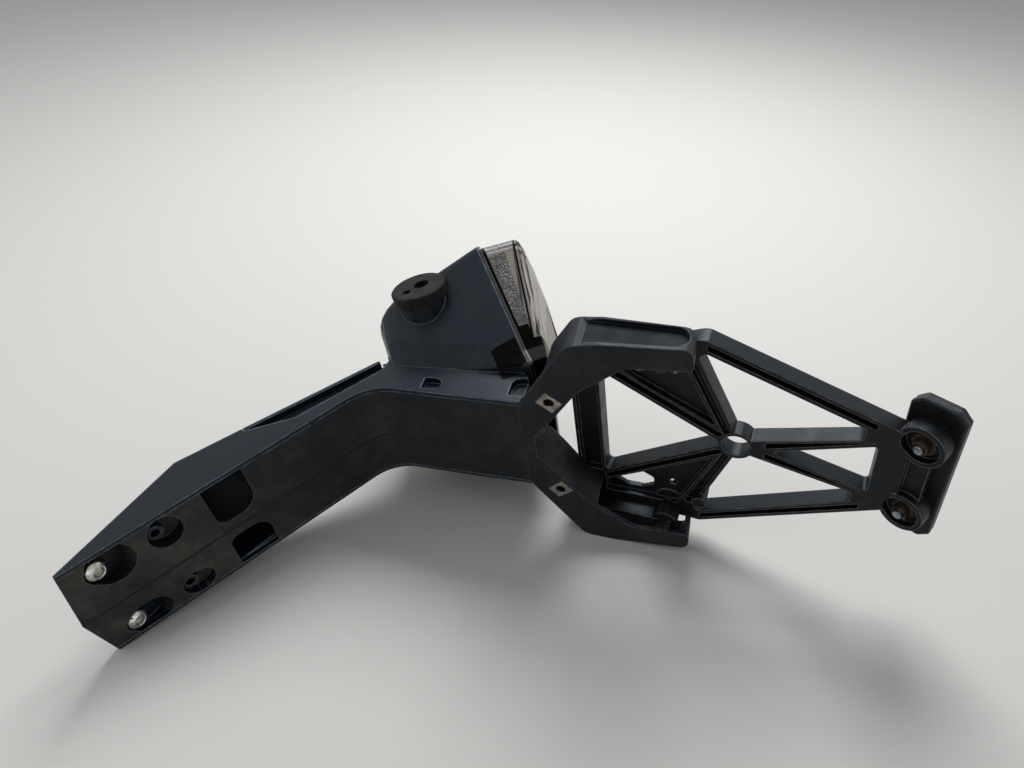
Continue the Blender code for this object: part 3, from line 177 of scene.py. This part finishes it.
class Shader:
    """A material's node tree, with short calls that add and link nodes."""

    def __init__(self, name):
        self.material = bpy.data.materials.new(name)
        self.material.use_nodes = True
        self.tree = self.material.node_tree
        self.surface = self.tree.nodes["Principled BSDF"]
        self.position = self.tree.nodes.new("ShaderNodeTexCoord").outputs["Object"]
        self.normal = None

    def add(self, kind, **values):
        node = self.tree.nodes.new(kind)
        for key, value in values.items():
            setattr(node, key, value)
        return node

    def link(self, source, target):
        self.tree.links.new(source, target)

    def put(self, socket, value):
        """Link an output, or write a plain value."""
        if isinstance(value, bpy.types.NodeSocket):
            self.link(value, socket)
        else:
            socket.default_value = value

    def noise(self, scale, detail=4.0, roughness=0.55, offset=0.0):
        node = self.add("ShaderNodeTexNoise", noise_dimensions='4D')
        node.inputs["Scale"].default_value = scale
        node.inputs["Detail"].default_value = detail
        node.inputs["Roughness"].default_value = roughness
        node.inputs["W"].default_value = offset
        self.link(self.position, node.inputs["Vector"])
        return node.outputs["Fac"]

    def cells(self, scale):
        node = self.add("ShaderNodeTexVoronoi")
        node.inputs["Scale"].default_value = scale
        self.link(self.position, node.inputs["Vector"])
        return node.outputs["Distance"]

    def band(self, value, low, high, to_low=0.0, to_high=1.0):
        """Map low..high smoothly onto to_low..to_high."""
        node = self.add("ShaderNodeMapRange", interpolation_type='SMOOTHSTEP')
        for key, number in (("From Min", low), ("From Max", high), ("To Min", to_low), ("To Max", to_high)):
            node.inputs[key].default_value = number
        self.put(node.inputs["Value"], value)
        return node.outputs["Result"]

    def uneven(self, scale, low, high, detail=4.0):
        """A value that wanders between low and high."""
        return self.band(self.noise(scale, detail), 0.3, 0.7, low, high)

    def math(self, operation, a, b):
        node = self.add("ShaderNodeMath", operation=operation)
        self.put(node.inputs[0], a)
        self.put(node.inputs[1], b)
        return node.outputs["Value"]

    def mix(self, amount, first, second):
        node = self.add("ShaderNodeMix", data_type='RGBA')
        self.put(node.inputs["Factor"], amount)
        for key, value in (("A", first), ("B", second)):
            socket = next(s for s in node.inputs if s.name == key and s.type == 'RGBA')
            self.put(socket, (*value, 1.0) if isinstance(value, tuple) else value)
        return next(s for s in node.outputs if s.type == 'RGBA')

    def dot(self, first, second):
        node = self.add("ShaderNodeVectorMath", operation='DOT_PRODUCT')
        self.put(node.inputs[0], first)
        self.put(node.inputs[1], second)
        return node.outputs["Value"]

    def facing(self, direction, low, high):
        """How far the surface looks the given way."""
        normal = self.add("ShaderNodeNewGeometry").outputs["Normal"]
        return self.band(self.dot(normal, direction), low, high)

    def distance(self, direction, start):
        """Metres in a direction, counted from a start that lies so far from the part's origin."""
        return self.math('SUBTRACT', self.dot(self.position, direction), start)

    def along(self, axes, axis, low, high):
        """0 at low and 1 at high along one of the axes, in metres from their origin."""
        direction = axes.to_3x3().col[axis]
        return self.band(self.distance(direction, axes.translation.dot(direction)), low, high)

    def line(self, direction, start, half):
        """1 in a band of the given half width about a plane, 0 elsewhere."""
        return self.band(self.math('ABSOLUTE', self.distance(direction, start), 0.0), half, 0.4 * half)

    def edges(self, radius):
        """Softened edges as seen by the light; returns how close a point is to an edge."""
        node = self.add("ShaderNodeBevel", samples=8)
        node.inputs["Radius"].default_value = radius
        self.normal = node.outputs["Normal"]
        flat = self.add("ShaderNodeNewGeometry").outputs["Normal"]
        return self.band(self.dot(self.normal, flat), 0.99, 0.80)

    def bump(self, value, distance, strength=1.0):
        node = self.add("ShaderNodeBump")
        node.inputs["Distance"].default_value = distance
        node.inputs["Strength"].default_value = strength
        self.link(value, node.inputs["Height"])
        if self.normal is not None:
            self.link(self.normal, node.inputs["Normal"])
        self.normal = node.outputs["Normal"]

    def finish(self, colour, roughness, **plain):
        self.put(self.surface.inputs["Base Color"], colour)
        self.put(self.surface.inputs["Roughness"], roughness)
        for key, value in plain.items():
            self.surface.inputs[key.replace("_", " ")].default_value = value
        if self.normal is not None:
            self.link(self.normal, self.surface.inputs["Normal"])
        return self.material


# Finishes

def moulded_plastic(name, base, dust_share, edge_wear_and_highlight, wear_and_highlight, roughness, edge, gloss=0.24, seam=False):
    """Moulded black plastic: dusty on the wheel side, most of all at the tail end, with paler edges that
    are partly rubbed wear and partly painted highlight.
    """
    shader = Shader(name)
    rim = shader.edges(edge)
    shader.bump(shader.noise(1500.0, 3.0), 0.00004, 0.5)
    cloud = shader.band(shader.noise(20.0, 7.0, 0.66), 0.40, 0.64, 0.12, 1.0)
    smear = shader.band(shader.noise(75.0, 5.0, 0.7, 2.0), 0.36, 0.66, 0.35, 1.0)
    wheel = shader.facing(WHEEL_SIDE, -0.15, 0.85)
    tail = shader.band(shader.along(RIDE, REARWARDS, 0.17, 0.02), 0.0, 1.0, 0.40 * dust_share, dust_share)
    film = shader.math('MULTIPLY', shader.math('MULTIPLY', cloud, smear), wheel)
    film = shader.math('MULTIPLY', film, tail)
    paler = tuple(1.45 * part for part in base)
    tone = shader.mix(shader.band(shader.noise(60.0, 5.0, 0.6, 3.0), 0.35, 0.7), base, paler)
    tone = shader.mix(film, tone, DUST)
    # Paler edges: rubbed wear, and a painted highlight along them
    rubbed_and_lit = shader.band(shader.noise(210.0, 5.0, 0.7, 4.0), 0.36, 0.62, 0.25 * wear_and_highlight, wear_and_highlight)
    tone = shader.mix(shader.math('MULTIPLY', rim, rubbed_and_lit), tone, edge_wear_and_highlight)
    speck = shader.math('MULTIPLY', shader.band(shader.cells(420.0), 0.13, 0.05),
                        shader.band(shader.noise(30.0, 3.0, 0.5, 7.0), 0.52, 0.68))
    tone = shader.mix(shader.math('MULTIPLY', speck, 0.16), tone, SPECK)
    if seam:
        line = shader.math('MULTIPLY', shader.line(LEFT, 0.0, SEAM_HALF), wheel)
        tone = shader.mix(line, tone, BLACK)
    rough = shader.math('ADD', shader.uneven(90.0, roughness - 0.05, roughness + 0.06, 5.0),
                        shader.math('MULTIPLY', film, 0.30))
    return shader.finish(tone, rough, Specular_IOR_Level=gloss, Specular_Tint=SKY_TINT)


def gloss_trim():
    """Polished black plastic at the lamp's seam."""
    shader = Shader("gloss_trim")
    shader.edges(0.0006)
    tone = shader.mix(shader.noise(60.0, 3.0), (0.004, 0.005, 0.007), (0.010, 0.012, 0.016))
    return shader.finish(tone, shader.uneven(150.0, 0.18, 0.28), Specular_IOR_Level=0.4)


def black_and_painted_shade():
    """Near-black plastic of the lamp's lower part, and painted shade in the housing's pockets and the
    mouths of the sheet nuts.
    """
    shader = Shader("black_and_painted_shade")
    tone = shader.mix(shader.noise(200.0, 3.0), (0.002, 0.002, 0.002), (0.006, 0.006, 0.006))
    return shader.finish(tone, shader.uneven(90.0, 0.35, 0.5), Specular_IOR_Level=0.02)


def worn_rubber():
    """Matt rubber of the indicator seats."""
    shader = Shader("worn_rubber")
    shader.edges(0.0006)
    shader.bump(shader.noise(900.0, 4.0), 0.00004, 0.6)
    patch = shader.band(shader.noise(70.0, 5.0), 0.4, 0.7)
    tone = shader.mix(patch, (0.003, 0.003, 0.004), (0.009, 0.009, 0.010))
    return shader.finish(tone, shader.uneven(120.0, 0.62, 0.80), Specular_IOR_Level=0.20)


def smoked_lens():
    """Grey clear plastic with faint scuffs, black along its flange, its foot and its rear corners, with
    painted shade on its upward faces.
    """
    shader = Shader("smoked_lens")
    scuff = shader.band(shader.noise(160.0, 6.0, 0.7), 0.55, 0.75, 0.02, 0.10)
    tone = shader.mix(shader.noise(18.0, 3.0), (0.40, 0.375, 0.355), (0.48, 0.455, 0.435))
    turned = LAMP.to_3x3()
    # Painted shade: the lens's upward faces dark, and with weaker reflection
    painted_roof_shade = shader.facing(turned.col[UPWARDS], 0.55, 0.80)
    tone = shader.mix(painted_roof_shade, tone, (0.025, 0.023, 0.022))
    front = shader.math('MULTIPLY', shader.along(LAMP, UPWARDS, *LENS_FRONT_TOP),
                        shader.along(LAMP, REARWARDS, *LENS_FRONT))
    foot = shader.math('MAXIMUM', front, shader.along(LAMP, UPWARDS, *LENS_FOOT_TOP))
    lean = (turned.col[REARWARDS] - STRIPE_LEAN * turned.col[UPWARDS]).normalized()
    corner = shader.line(lean, LAMP.translation.dot(lean) + STRIPE_AT, STRIPE_HALF)
    flange = shader.along(LAMP, REARWARDS, *LENS_FLANGE)
    black = shader.math('MAXIMUM', flange, shader.math('MAXIMUM', foot, corner))
    tone = shader.mix(black, tone, BLACK)
    shader.link(shader.band(black, 0.0, 1.0, 1.0, 0.0), shader.surface.inputs["Transmission Weight"])
    dull = shader.band(shader.math('MAXIMUM', black, painted_roof_shade), 0.0, 1.0, 0.5, 0.03)
    shader.link(dull, shader.surface.inputs["Specular IOR Level"])
    shader.bump(shader.noise(35.0, 2.0), 0.0001, 0.10)
    return shader.finish(tone, scuff, IOR=1.46)


def clear_guide():
    """Clear moulded guide whose small prisms sparkle, partly through painted glints at their centres,
    cloudier in some places than in others.
    """
    shader = Shader("clear_guide")
    prism = shader.cells(760.0)
    shader.bump(prism, 0.0007, 1.0)
    # Near-white cell centres: partly the tint of the prisms' reflection, partly painted glints
    tone = shader.mix(shader.band(prism, 0.25, 0.50), (0.85, 0.93, 1.0), (0.09, 0.11, 0.14))
    low = shader.along(LAMP, UPWARDS, *CLOUDY_BELOW)
    cloud = shader.math('MULTIPLY', shader.band(shader.noise(110.0, 5.0, 0.65), 0.42, 0.66),
                        shader.band(low, 0.0, 1.0, 0.45, 0.95))
    tone = shader.mix(cloud, tone, (0.09, 0.10, 0.11))
    return shader.finish(tone, shader.uneven(300.0, 0.10, 0.25), IOR=1.49, Metallic=0.6)


def circuit_board():
    """Green board with raised tracks."""
    shader = Shader("circuit_board")
    track = shader.band(shader.cells(180.0), 0.25, 0.30)
    tone = shader.mix(track, (0.02, 0.07, 0.035), (0.03, 0.13, 0.06))
    shader.bump(track, 0.0001, 0.5)
    return shader.finish(tone, shader.uneven(80.0, 0.3, 0.45), IOR=1.5)


def silvered():
    """Aluminised inside of the lamp."""
    shader = Shader("silvered")
    tone = shader.mix(shader.noise(40.0, 3.0), (0.30, 0.30, 0.30), (0.45, 0.45, 0.44))
    shader.bump(shader.noise(200.0, 2.0), 0.00004, 0.4)
    return shader.finish(tone, shader.uneven(90.0, 0.22, 0.40), Metallic=0.9)


def steel(name, bright, dull, stain, stain_share, rough):
    """Plated steel with dull patches and brown stains."""
    shader = Shader(name)
    shader.edges(0.0003)
    patch = shader.band(shader.noise(240.0, 6.0, 0.65), 0.38, 0.62)
    tone = shader.mix(patch, bright, dull)
    start = 0.70 - 0.4 * stain_share
    brown = shader.band(shader.noise(330.0, 6.0, 0.7, 5.0), start, start + 0.12)
    tone = shader.mix(brown, tone, stain)
    shader.bump(shader.noise(1400.0, 4.0), 0.00005, 0.5)
    shader.link(shader.band(brown, 0.0, 1.0, 1.0, 0.15), shader.surface.inputs["Metallic"])
    roughness = shader.math('ADD', shader.band(patch, 0.0, 1.0, rough, rough + 0.14),
                            shader.math('MULTIPLY', brown, 0.35))
    return shader.finish(tone, roughness)


def red_prisms():
    """Red reflector plastic over fine corner prisms."""
    shader = Shader("red_prisms")
    prism = shader.cells(420.0)
    shader.bump(prism, 0.0005, 0.5)
    tone = shader.mix(shader.band(prism, 0.1, 0.6), (0.42, 0.008, 0.010), (0.62, 0.02, 0.02))
    return shader.finish(tone, shader.uneven(120.0, 0.10, 0.22), IOR=1.49, Coat_Weight=0.5)


# Edge colours: a painted highlight on the arm and the covers, partly rubbed wear and partly painted
# highlight on the others
CARRIER_BLACK = moulded_plastic("carrier_plastic", base=(0.0042, 0.0048, 0.0058), dust_share=0.35,
                                edge_wear_and_highlight=(0.28, 0.29, 0.30), wear_and_highlight=0.80, roughness=0.42, edge=0.0012)
COVER_BLACK = moulded_plastic("cover_plastic", base=(0.0050, 0.0058, 0.0074), dust_share=1.3,
                              edge_wear_and_highlight=(0.20, 0.23, 0.27), wear_and_highlight=0.70, roughness=0.46, edge=0.0012, seam=True)
# Darker copy of the cover plastic for the groove's floor: painted shade
GROOVE_SHADE = moulded_plastic("groove_painted_shade", base=(0.0030, 0.0036, 0.0046), dust_share=0.4,
                               edge_wear_and_highlight=(0.10, 0.11, 0.13), wear_and_highlight=0.40, roughness=0.50, edge=0.0006, gloss=0.08)
ARM_BLACK = moulded_plastic("arm_plastic", base=(0.0042, 0.0062, 0.0100), dust_share=0.30,
                            edge_wear_and_highlight=(0.30, 0.38, 0.48), wear_and_highlight=0.75, roughness=0.42, edge=0.0016)
BLACK_AND_SHADE = black_and_painted_shade()
ZINC = steel("zinc", bright=(0.60, 0.60, 0.57), dull=(0.30, 0.29, 0.26), stain=(0.12, 0.085, 0.055),
             stain_share=0.35, rough=0.20)
WORN_STEEL = steel("worn_steel", bright=(0.40, 0.37, 0.33), dull=(0.24, 0.215, 0.185),
                   stain=(0.085, 0.060, 0.040), stain_share=0.42, rough=0.44)
STUD_STEEL = steel("stud_steel", bright=(0.42, 0.47, 0.52), dull=(0.10, 0.11, 0.12),
                   stain=(0.060, 0.045, 0.035), stain_share=0.40, rough=0.25)
RUSTY_STEEL = steel("rusty_steel", bright=(0.08, 0.066, 0.055), dull=(0.028, 0.020, 0.017),
                    stain=(0.085, 0.040, 0.022), stain_share=0.50, rough=0.55)
FINISHES = {
    ARM_BLACK: ("tail_body", "arm_roof"),
    COVER_BLACK: ("left_cover", "right_cover"),
    CARRIER_BLACK: ("plate_carrier", "reflector_base"),
    gloss_trim(): ("lamp_gasket",),
    worn_rubber(): ("left_indicator_seat", "right_indicator_seat"),
    smoked_lens(): ("lamp_lens",),
    clear_guide(): ("light_guide",),
    circuit_board(): ("led_board",),
    silvered(): ("lamp_bezel",),
    ZINC: ("left_mount_bolt", "right_mount_bolt", "left_carrier_screw", "right_carrier_screw"),
    WORN_STEEL: ("left_clip_nut", "right_clip_nut"),
    STUD_STEEL: ("left_reflector_stud", "right_reflector_stud"),
    RUSTY_STEEL: ("left_nut", "right_nut", "left_washer", "right_washer"),
    red_prisms(): ("reflector_lens",),
}


def coat(mesh, finish):
    mesh.materials.clear()
    mesh.materials.append(finish)


def finish_of(name):
    return nodes[name].data.materials[0]


for finish, names in FINISHES.items():
    for name in names:
        coat(nodes[name].data, finish)


# Pieces finer than the solids

def place(name, mesh, finish, smooth=True):
    """A piece of the part, from a mesh whose corners are in the part's frame."""
    coat(mesh, finish)
    if smooth:
        mesh.shade_smooth()
        mesh.set_sharp_from_angle(angle=SMOOTH_ANGLE)
    piece = bpy.data.objects.new(name, mesh)
    bpy.context.scene.collection.objects.link(piece)
    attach(piece, "root")
    return piece


def keep(build, mesh):
    """Write the built faces into a mesh."""
    build.to_mesh(mesh)
    build.free()
    return mesh


def solid(loops, axes):
    """Mesh through loops of equally many points, closed at both ends."""
    count = len(loops[0])
    verts = [axes @ Vector(point) for loop in loops for point in loop]
    faces = []
    for low in range(0, len(verts) - count, count):
        high = low + count
        for i in range(count):
            after = (i + 1) % count
            faces.append((low + i, low + after, high + after, high + i))
    faces.append(tuple(reversed(range(count))))
    faces.append(tuple(range(len(verts) - count, len(verts))))
    mesh = bpy.data.meshes.new("solid")
    mesh.from_pydata(verts, [], faces)
    build = bmesh.new()
    build.from_mesh(mesh)
    bmesh.ops.recalc_face_normals(build, faces=build.faces)
    return keep(build, mesh)


def circle(radius, height, steps=40):
    return [(radius * math.cos(math.tau * i / steps), radius * math.sin(math.tau * i / steps), height)
            for i in range(steps)]


def round_solid(profile, axes):
    """Solid through circles of the given radii and heights."""
    return solid([circle(radius, height) for radius, height in profile], axes)


def copy_of(name):
    """A node's mesh with its corners in the frame of the part."""
    mesh = nodes[name].data.copy()
    mesh.transform(nodes[name].matrix_world)
    return mesh


def middle(name):
    low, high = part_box(name)
    return 0.5 * (Vector(low) + Vector(high))


def ramp(value, start, end):
    """0 up to start, 1 from end on, and smooth in between."""
    share = max(0.0, min(1.0, (value - start) / (end - start)))
    return share * share * (3.0 - 2.0 * share)


def narrow_carrier():
    """The carrier and its screws, with front corners and ears drawn in behind the fork arms."""
    mesh = copy_of("plate_carrier")
    back = CARRIER.inverted()
    for vert in mesh.vertices:
        x, y, z = back @ vert.co
        shift = CARRIER_SQUEEZE * ramp(abs(x), *SQUEEZE_ACROSS) * (1.0 - ramp(y, *SQUEEZE_ALONG))
        vert.co = CARRIER @ Vector((x - math.copysign(shift, x), y, z))
    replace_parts(place("narrow_carrier", mesh, CARRIER_BLACK), "plate_carrier")
    for side, name in SIDES:
        screw = copy_of(name + "_carrier_screw")
        screw.transform(Matrix.Translation(-side * CARRIER_SQUEEZE * LEFT))
        finish = finish_of(name + "_carrier_screw")
        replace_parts(place(name + "_ear_screw", screw, finish), name + "_carrier_screw")


def carrier_flange(side, name):
    """Flange and boss of the carrier that reach into a fork arm."""
    inner = [(x - FLANGE_WALL, y) for x, y in reversed(FLANGE_PATH)]
    outline = [(side * x, y) for x, y in FLANGE_PATH + inner]
    loops = [[(x, y, height) for x, y in outline] for height in (-FLANGE_DEPTH, CARRIER_FACE)]
    place(name + "_flange", solid(loops, CARRIER), CARRIER_BLACK, smooth=False)
    seat = CARRIER @ Matrix.Translation((side * SCREW_SEAT[0], SCREW_SEAT[1], 0.0))
    place(name + "_boss", round_solid(BOSS_PROFILE, seat), CARRIER_BLACK)


def deep_groove(side, name):
    """A lower cover whose fork arm has its outer groove at full depth, the groove's floor in a darker copy
    of the plastic as painted shade.
    """
    mesh = copy_of(name)
    piece = place("deep_" + name, mesh, COVER_BLACK)
    mesh.materials.append(GROOVE_SHADE)
    back = DROP.inverted()
    on_floor = set()
    for vert in mesh.vertices:
        x, y, z = back @ vert.co
        if abs(side * x - GROOVE_FLOOR) < TOLERANCE:
            vert.co = DROP @ Vector((x - side * GROOVE_MORE, y, z))
            on_floor.add(vert.index)
    # The groove's floor faces take the darker plastic: painted shade
    for face in mesh.polygons:
        if on_floor.issuperset(face.vertices):
            face.material_index = 1
    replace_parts(piece, name)


def open_clip(side, name):
    """A sheet nut with the wide mouth of its pressed thread, and a black disc of painted shade in the
    mouth.
    """
    mesh = copy_of(name)
    back = DROP.inverted()
    centre = Vector((side * CLIP_AT[0], CLIP_AT[1], 0.0))
    front = min((back @ vert.co - centre).z for vert in mesh.vertices)
    for vert in mesh.vertices:
        local = back @ vert.co - centre
        if local.xy.length < BARREL_RADIUS:
            wide = Vector((local.x * BARREL_WIDENING, local.y * BARREL_WIDENING, local.z))
            vert.co = DROP @ (centre + wide)
    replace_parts(place("open_" + name, mesh, finish_of(name)), name)
    # Black disc in the mouth: painted shade
    disc = [(SHADE_RADIUS, front + depth) for depth in SHADE_DEPTHS]
    shade = round_solid(disc, DROP @ Matrix.Translation(centre))
    place(name + "_shade", shade, BLACK_AND_SHADE, smooth=False)


def rimmed_reflector():
    """The reflector's lens with a black rim, inside which its red face lies a little deeper."""
    mesh = copy_of("reflector_lens")
    piece = place("rimmed_reflector", mesh, finish_of("reflector_lens"))
    mesh.materials.append(CARRIER_BLACK)
    rear = (middle("reflector_lens") - middle("reflector_base")).normalized()
    build = bmesh.new()
    build.from_mesh(mesh)
    build.normal_update()
    red = [face for face in build.faces if face.normal.dot(rear) > 0.9]
    for face in build.faces:
        face.material_index = 1
    bmesh.ops.inset_region(build, faces=red, thickness=RIM_WIDTH)
    bmesh.ops.inset_region(build, faces=red, thickness=RIM_WALL, depth=-FACE_DEPTH)
    for face in red:
        face.material_index = 0
    keep(build, mesh)
    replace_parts(piece, "reflector_lens")


def domed_bolt(side, name):
    """Worn button head of a tail bolt, with its socket, on the bolt's shank."""
    x, y, z = BOLT_ORIGIN
    seat = RIDE @ Matrix.Translation((side * x, y, z)) @ Matrix.Rotation(BOLT_TURN, 4, 'X')
    dome = [(HEAD_RADIUS * math.cos(math.radians(d)), HEAD_EDGE - HEAD_DOME * math.sin(math.radians(d)))
            for d in (58.0, 50.0, 40.0, 30.0, 20.0, 10.0, 0.0)]
    bolt = round_solid(SOCKET_PROFILE + dome + SHANK_PROFILE, seat)
    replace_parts(place(name + "_dome", bolt, finish_of(name)), name)


def prism_strip():
    """Prismatic light guide up the left side of the lens, across its top and down the right side."""
    shallow, deep = GUIDE_DEPTHS
    loops = []
    for x, z in GUIDE_PATH + [(-x, z) for x, z in reversed(GUIDE_PATH)]:
        end = shallow + (deep - shallow) * (1.0 - z / GUIDE_FOOT)
        inner_x = x * GUIDE_INNER
        inner_z = z - GUIDE_DROP
        loops.append([(x, GUIDE_START, z), (x, end, z), (inner_x, end - GUIDE_SLANT, inner_z),
                      (inner_x, GUIDE_START, inner_z)])
    strip = place("prism_strip", solid(loops, LAMP), finish_of("light_guide"), smooth=False)
    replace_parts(strip, "light_guide")


def housing_pocket_shade(side, name):
    """Painted shade: a black sheet over a lower corner of the lamp's housing, where the housing's recess
    lies in shade, cut from the housing's own surface.
    """
    build = bmesh.new()
    build.from_mesh(copy_of("tail_body"))
    for axis, start, sign in POCKET_CUTS:
        direction = LAMP.to_3x3().col[axis]
        bmesh.ops.bisect_plane(build, geom=build.verts[:] + build.edges[:] + build.faces[:],
                               plane_co=LAMP.translation + start * direction, plane_no=sign * direction,
                               clear_outer=True)
    build.normal_update()
    outwards = side * LEFT
    rest = [face for face in build.faces if face.normal.dot(outwards) < POCKET_FACING
            or (face.calc_center_median() - LAMP.translation).dot(outwards) < POCKET_FROM_MIDDLE]
    bmesh.ops.delete(build, geom=rest, context='FACES')
    for vert in build.verts:
        vert.co += POCKET_PROUD * outwards
    bmesh.ops.solidify(build, geom=build.faces[:], thickness=POCKET_THICK)
    mesh = keep(build, bpy.data.meshes.new("pocket"))
    place(name + "_pocket", mesh, BLACK_AND_SHADE, smooth=False)


def lamp_block():
    """Black lower part behind the lens."""
    outline = BLOCK_SIDE + [(-x, z) for x, z in reversed(BLOCK_SIDE)]
    loops = [[(x, deep, z) for x, z in outline] for deep in BLOCK_DEPTHS]
    place("lamp_block", solid(loops, LAMP), BLACK_AND_SHADE, smooth=False)


narrow_carrier()
for side, name in SIDES:
    carrier_flange(side, name)
    domed_bolt(side, name + "_mount_bolt")
    deep_groove(side, name + "_cover")
    open_clip(side, name + "_clip_nut")
rimmed_reflector()
prism_strip()
for side, name in SIDES:
    housing_pocket_shade(side, name)
lamp_block()


# Floor, light and camera

def plain_floor():
    """Wide pale floor just under the lowest point of the part."""
    low = cad_box[0][2]
    corners = [(x * FLOOR_HALF, y * FLOOR_HALF, low) for x, y in ((-1, -1), (1, -1), (1, 1), (-1, 1))]
    mesh = bpy.data.meshes.new("floor")
    mesh.from_pydata(corners, [], [(0, 1, 2, 3)])
    floor = bpy.data.objects.new("floor", mesh)
    bpy.context.scene.collection.objects.link(floor)
    shader = Shader("pale_floor")
    darker = tuple(FLOOR_MOTTLE * part for part in FLOOR_COLOUR)
    tone = shader.mix(shader.noise(3.0, 2.0), FLOOR_COLOUR, darker)
    mesh.materials.append(shader.finish(tone, 0.85))


def soft_box(name, spot, size, power):
    """Square lamp that looks at the part."""
    light = bpy.data.lights.new(name, 'AREA')
    light.shape = 'SQUARE'
    light.size = size
    light.energy = power
    lamp = bpy.data.objects.new(name, light)
    away = (Vector(spot) - TARGET).normalized()
    lamp.matrix_world = Matrix.Translation(spot) @ away.to_track_quat('Z', 'Y').to_matrix().to_4x4()
    bpy.context.scene.collection.objects.link(lamp)


def pale_world(strength):
    """Even light, and a white background for camera, gloss and clear plastic."""
    world = bpy.data.worlds.new("studio")
    world.use_nodes = True
    tree = world.node_tree
    background = tree.nodes["Background"]
    background.inputs["Color"].default_value = (1.0, 1.0, 1.0, 1.0)
    path = tree.nodes.new("ShaderNodeLightPath")
    seen = path.outputs["Is Camera Ray"]
    for key in ("Is Glossy Ray", "Is Transmission Ray"):
        larger = tree.nodes.new("ShaderNodeMath")
        larger.operation = 'MAXIMUM'
        tree.links.new(seen, larger.inputs[0])
        tree.links.new(path.outputs[key], larger.inputs[1])
        seen = larger.outputs["Value"]
    level = tree.nodes.new("ShaderNodeMapRange")
    level.inputs["To Min"].default_value = strength
    level.inputs["To Max"].default_value = 1.0
    tree.links.new(seen, level.inputs["Value"])
    tree.links.new(level.outputs["Result"], background.inputs["Strength"])
    bpy.context.scene.world = world


def photo_camera():
    """Camera at the photograph's place and angle."""
    data = bpy.data.cameras.new("camera")
    data.lens = CAMERA_LENS
    data.sensor_width = SENSOR_WIDTH
    camera = bpy.data.objects.new("camera", data)
    ahead = CAMERA_AHEAD.normalized()
    up = -(CAMERA_DOWN - ahead * CAMERA_DOWN.dot(ahead)).normalized()
    turn = Matrix((ahead.cross(up), up, -ahead)).transposed().to_4x4()
    camera.matrix_world = Matrix.Translation(CAMERA_AT) @ turn
    bpy.context.scene.collection.objects.link(camera)
    bpy.context.scene.camera = camera


plain_floor()
pale_world(WORLD_LIGHT)
soft_box("key", **KEY)
soft_box("fill", **FILL)
photo_camera()
bpy.context.scene.view_settings.view_transform = 'Standard'
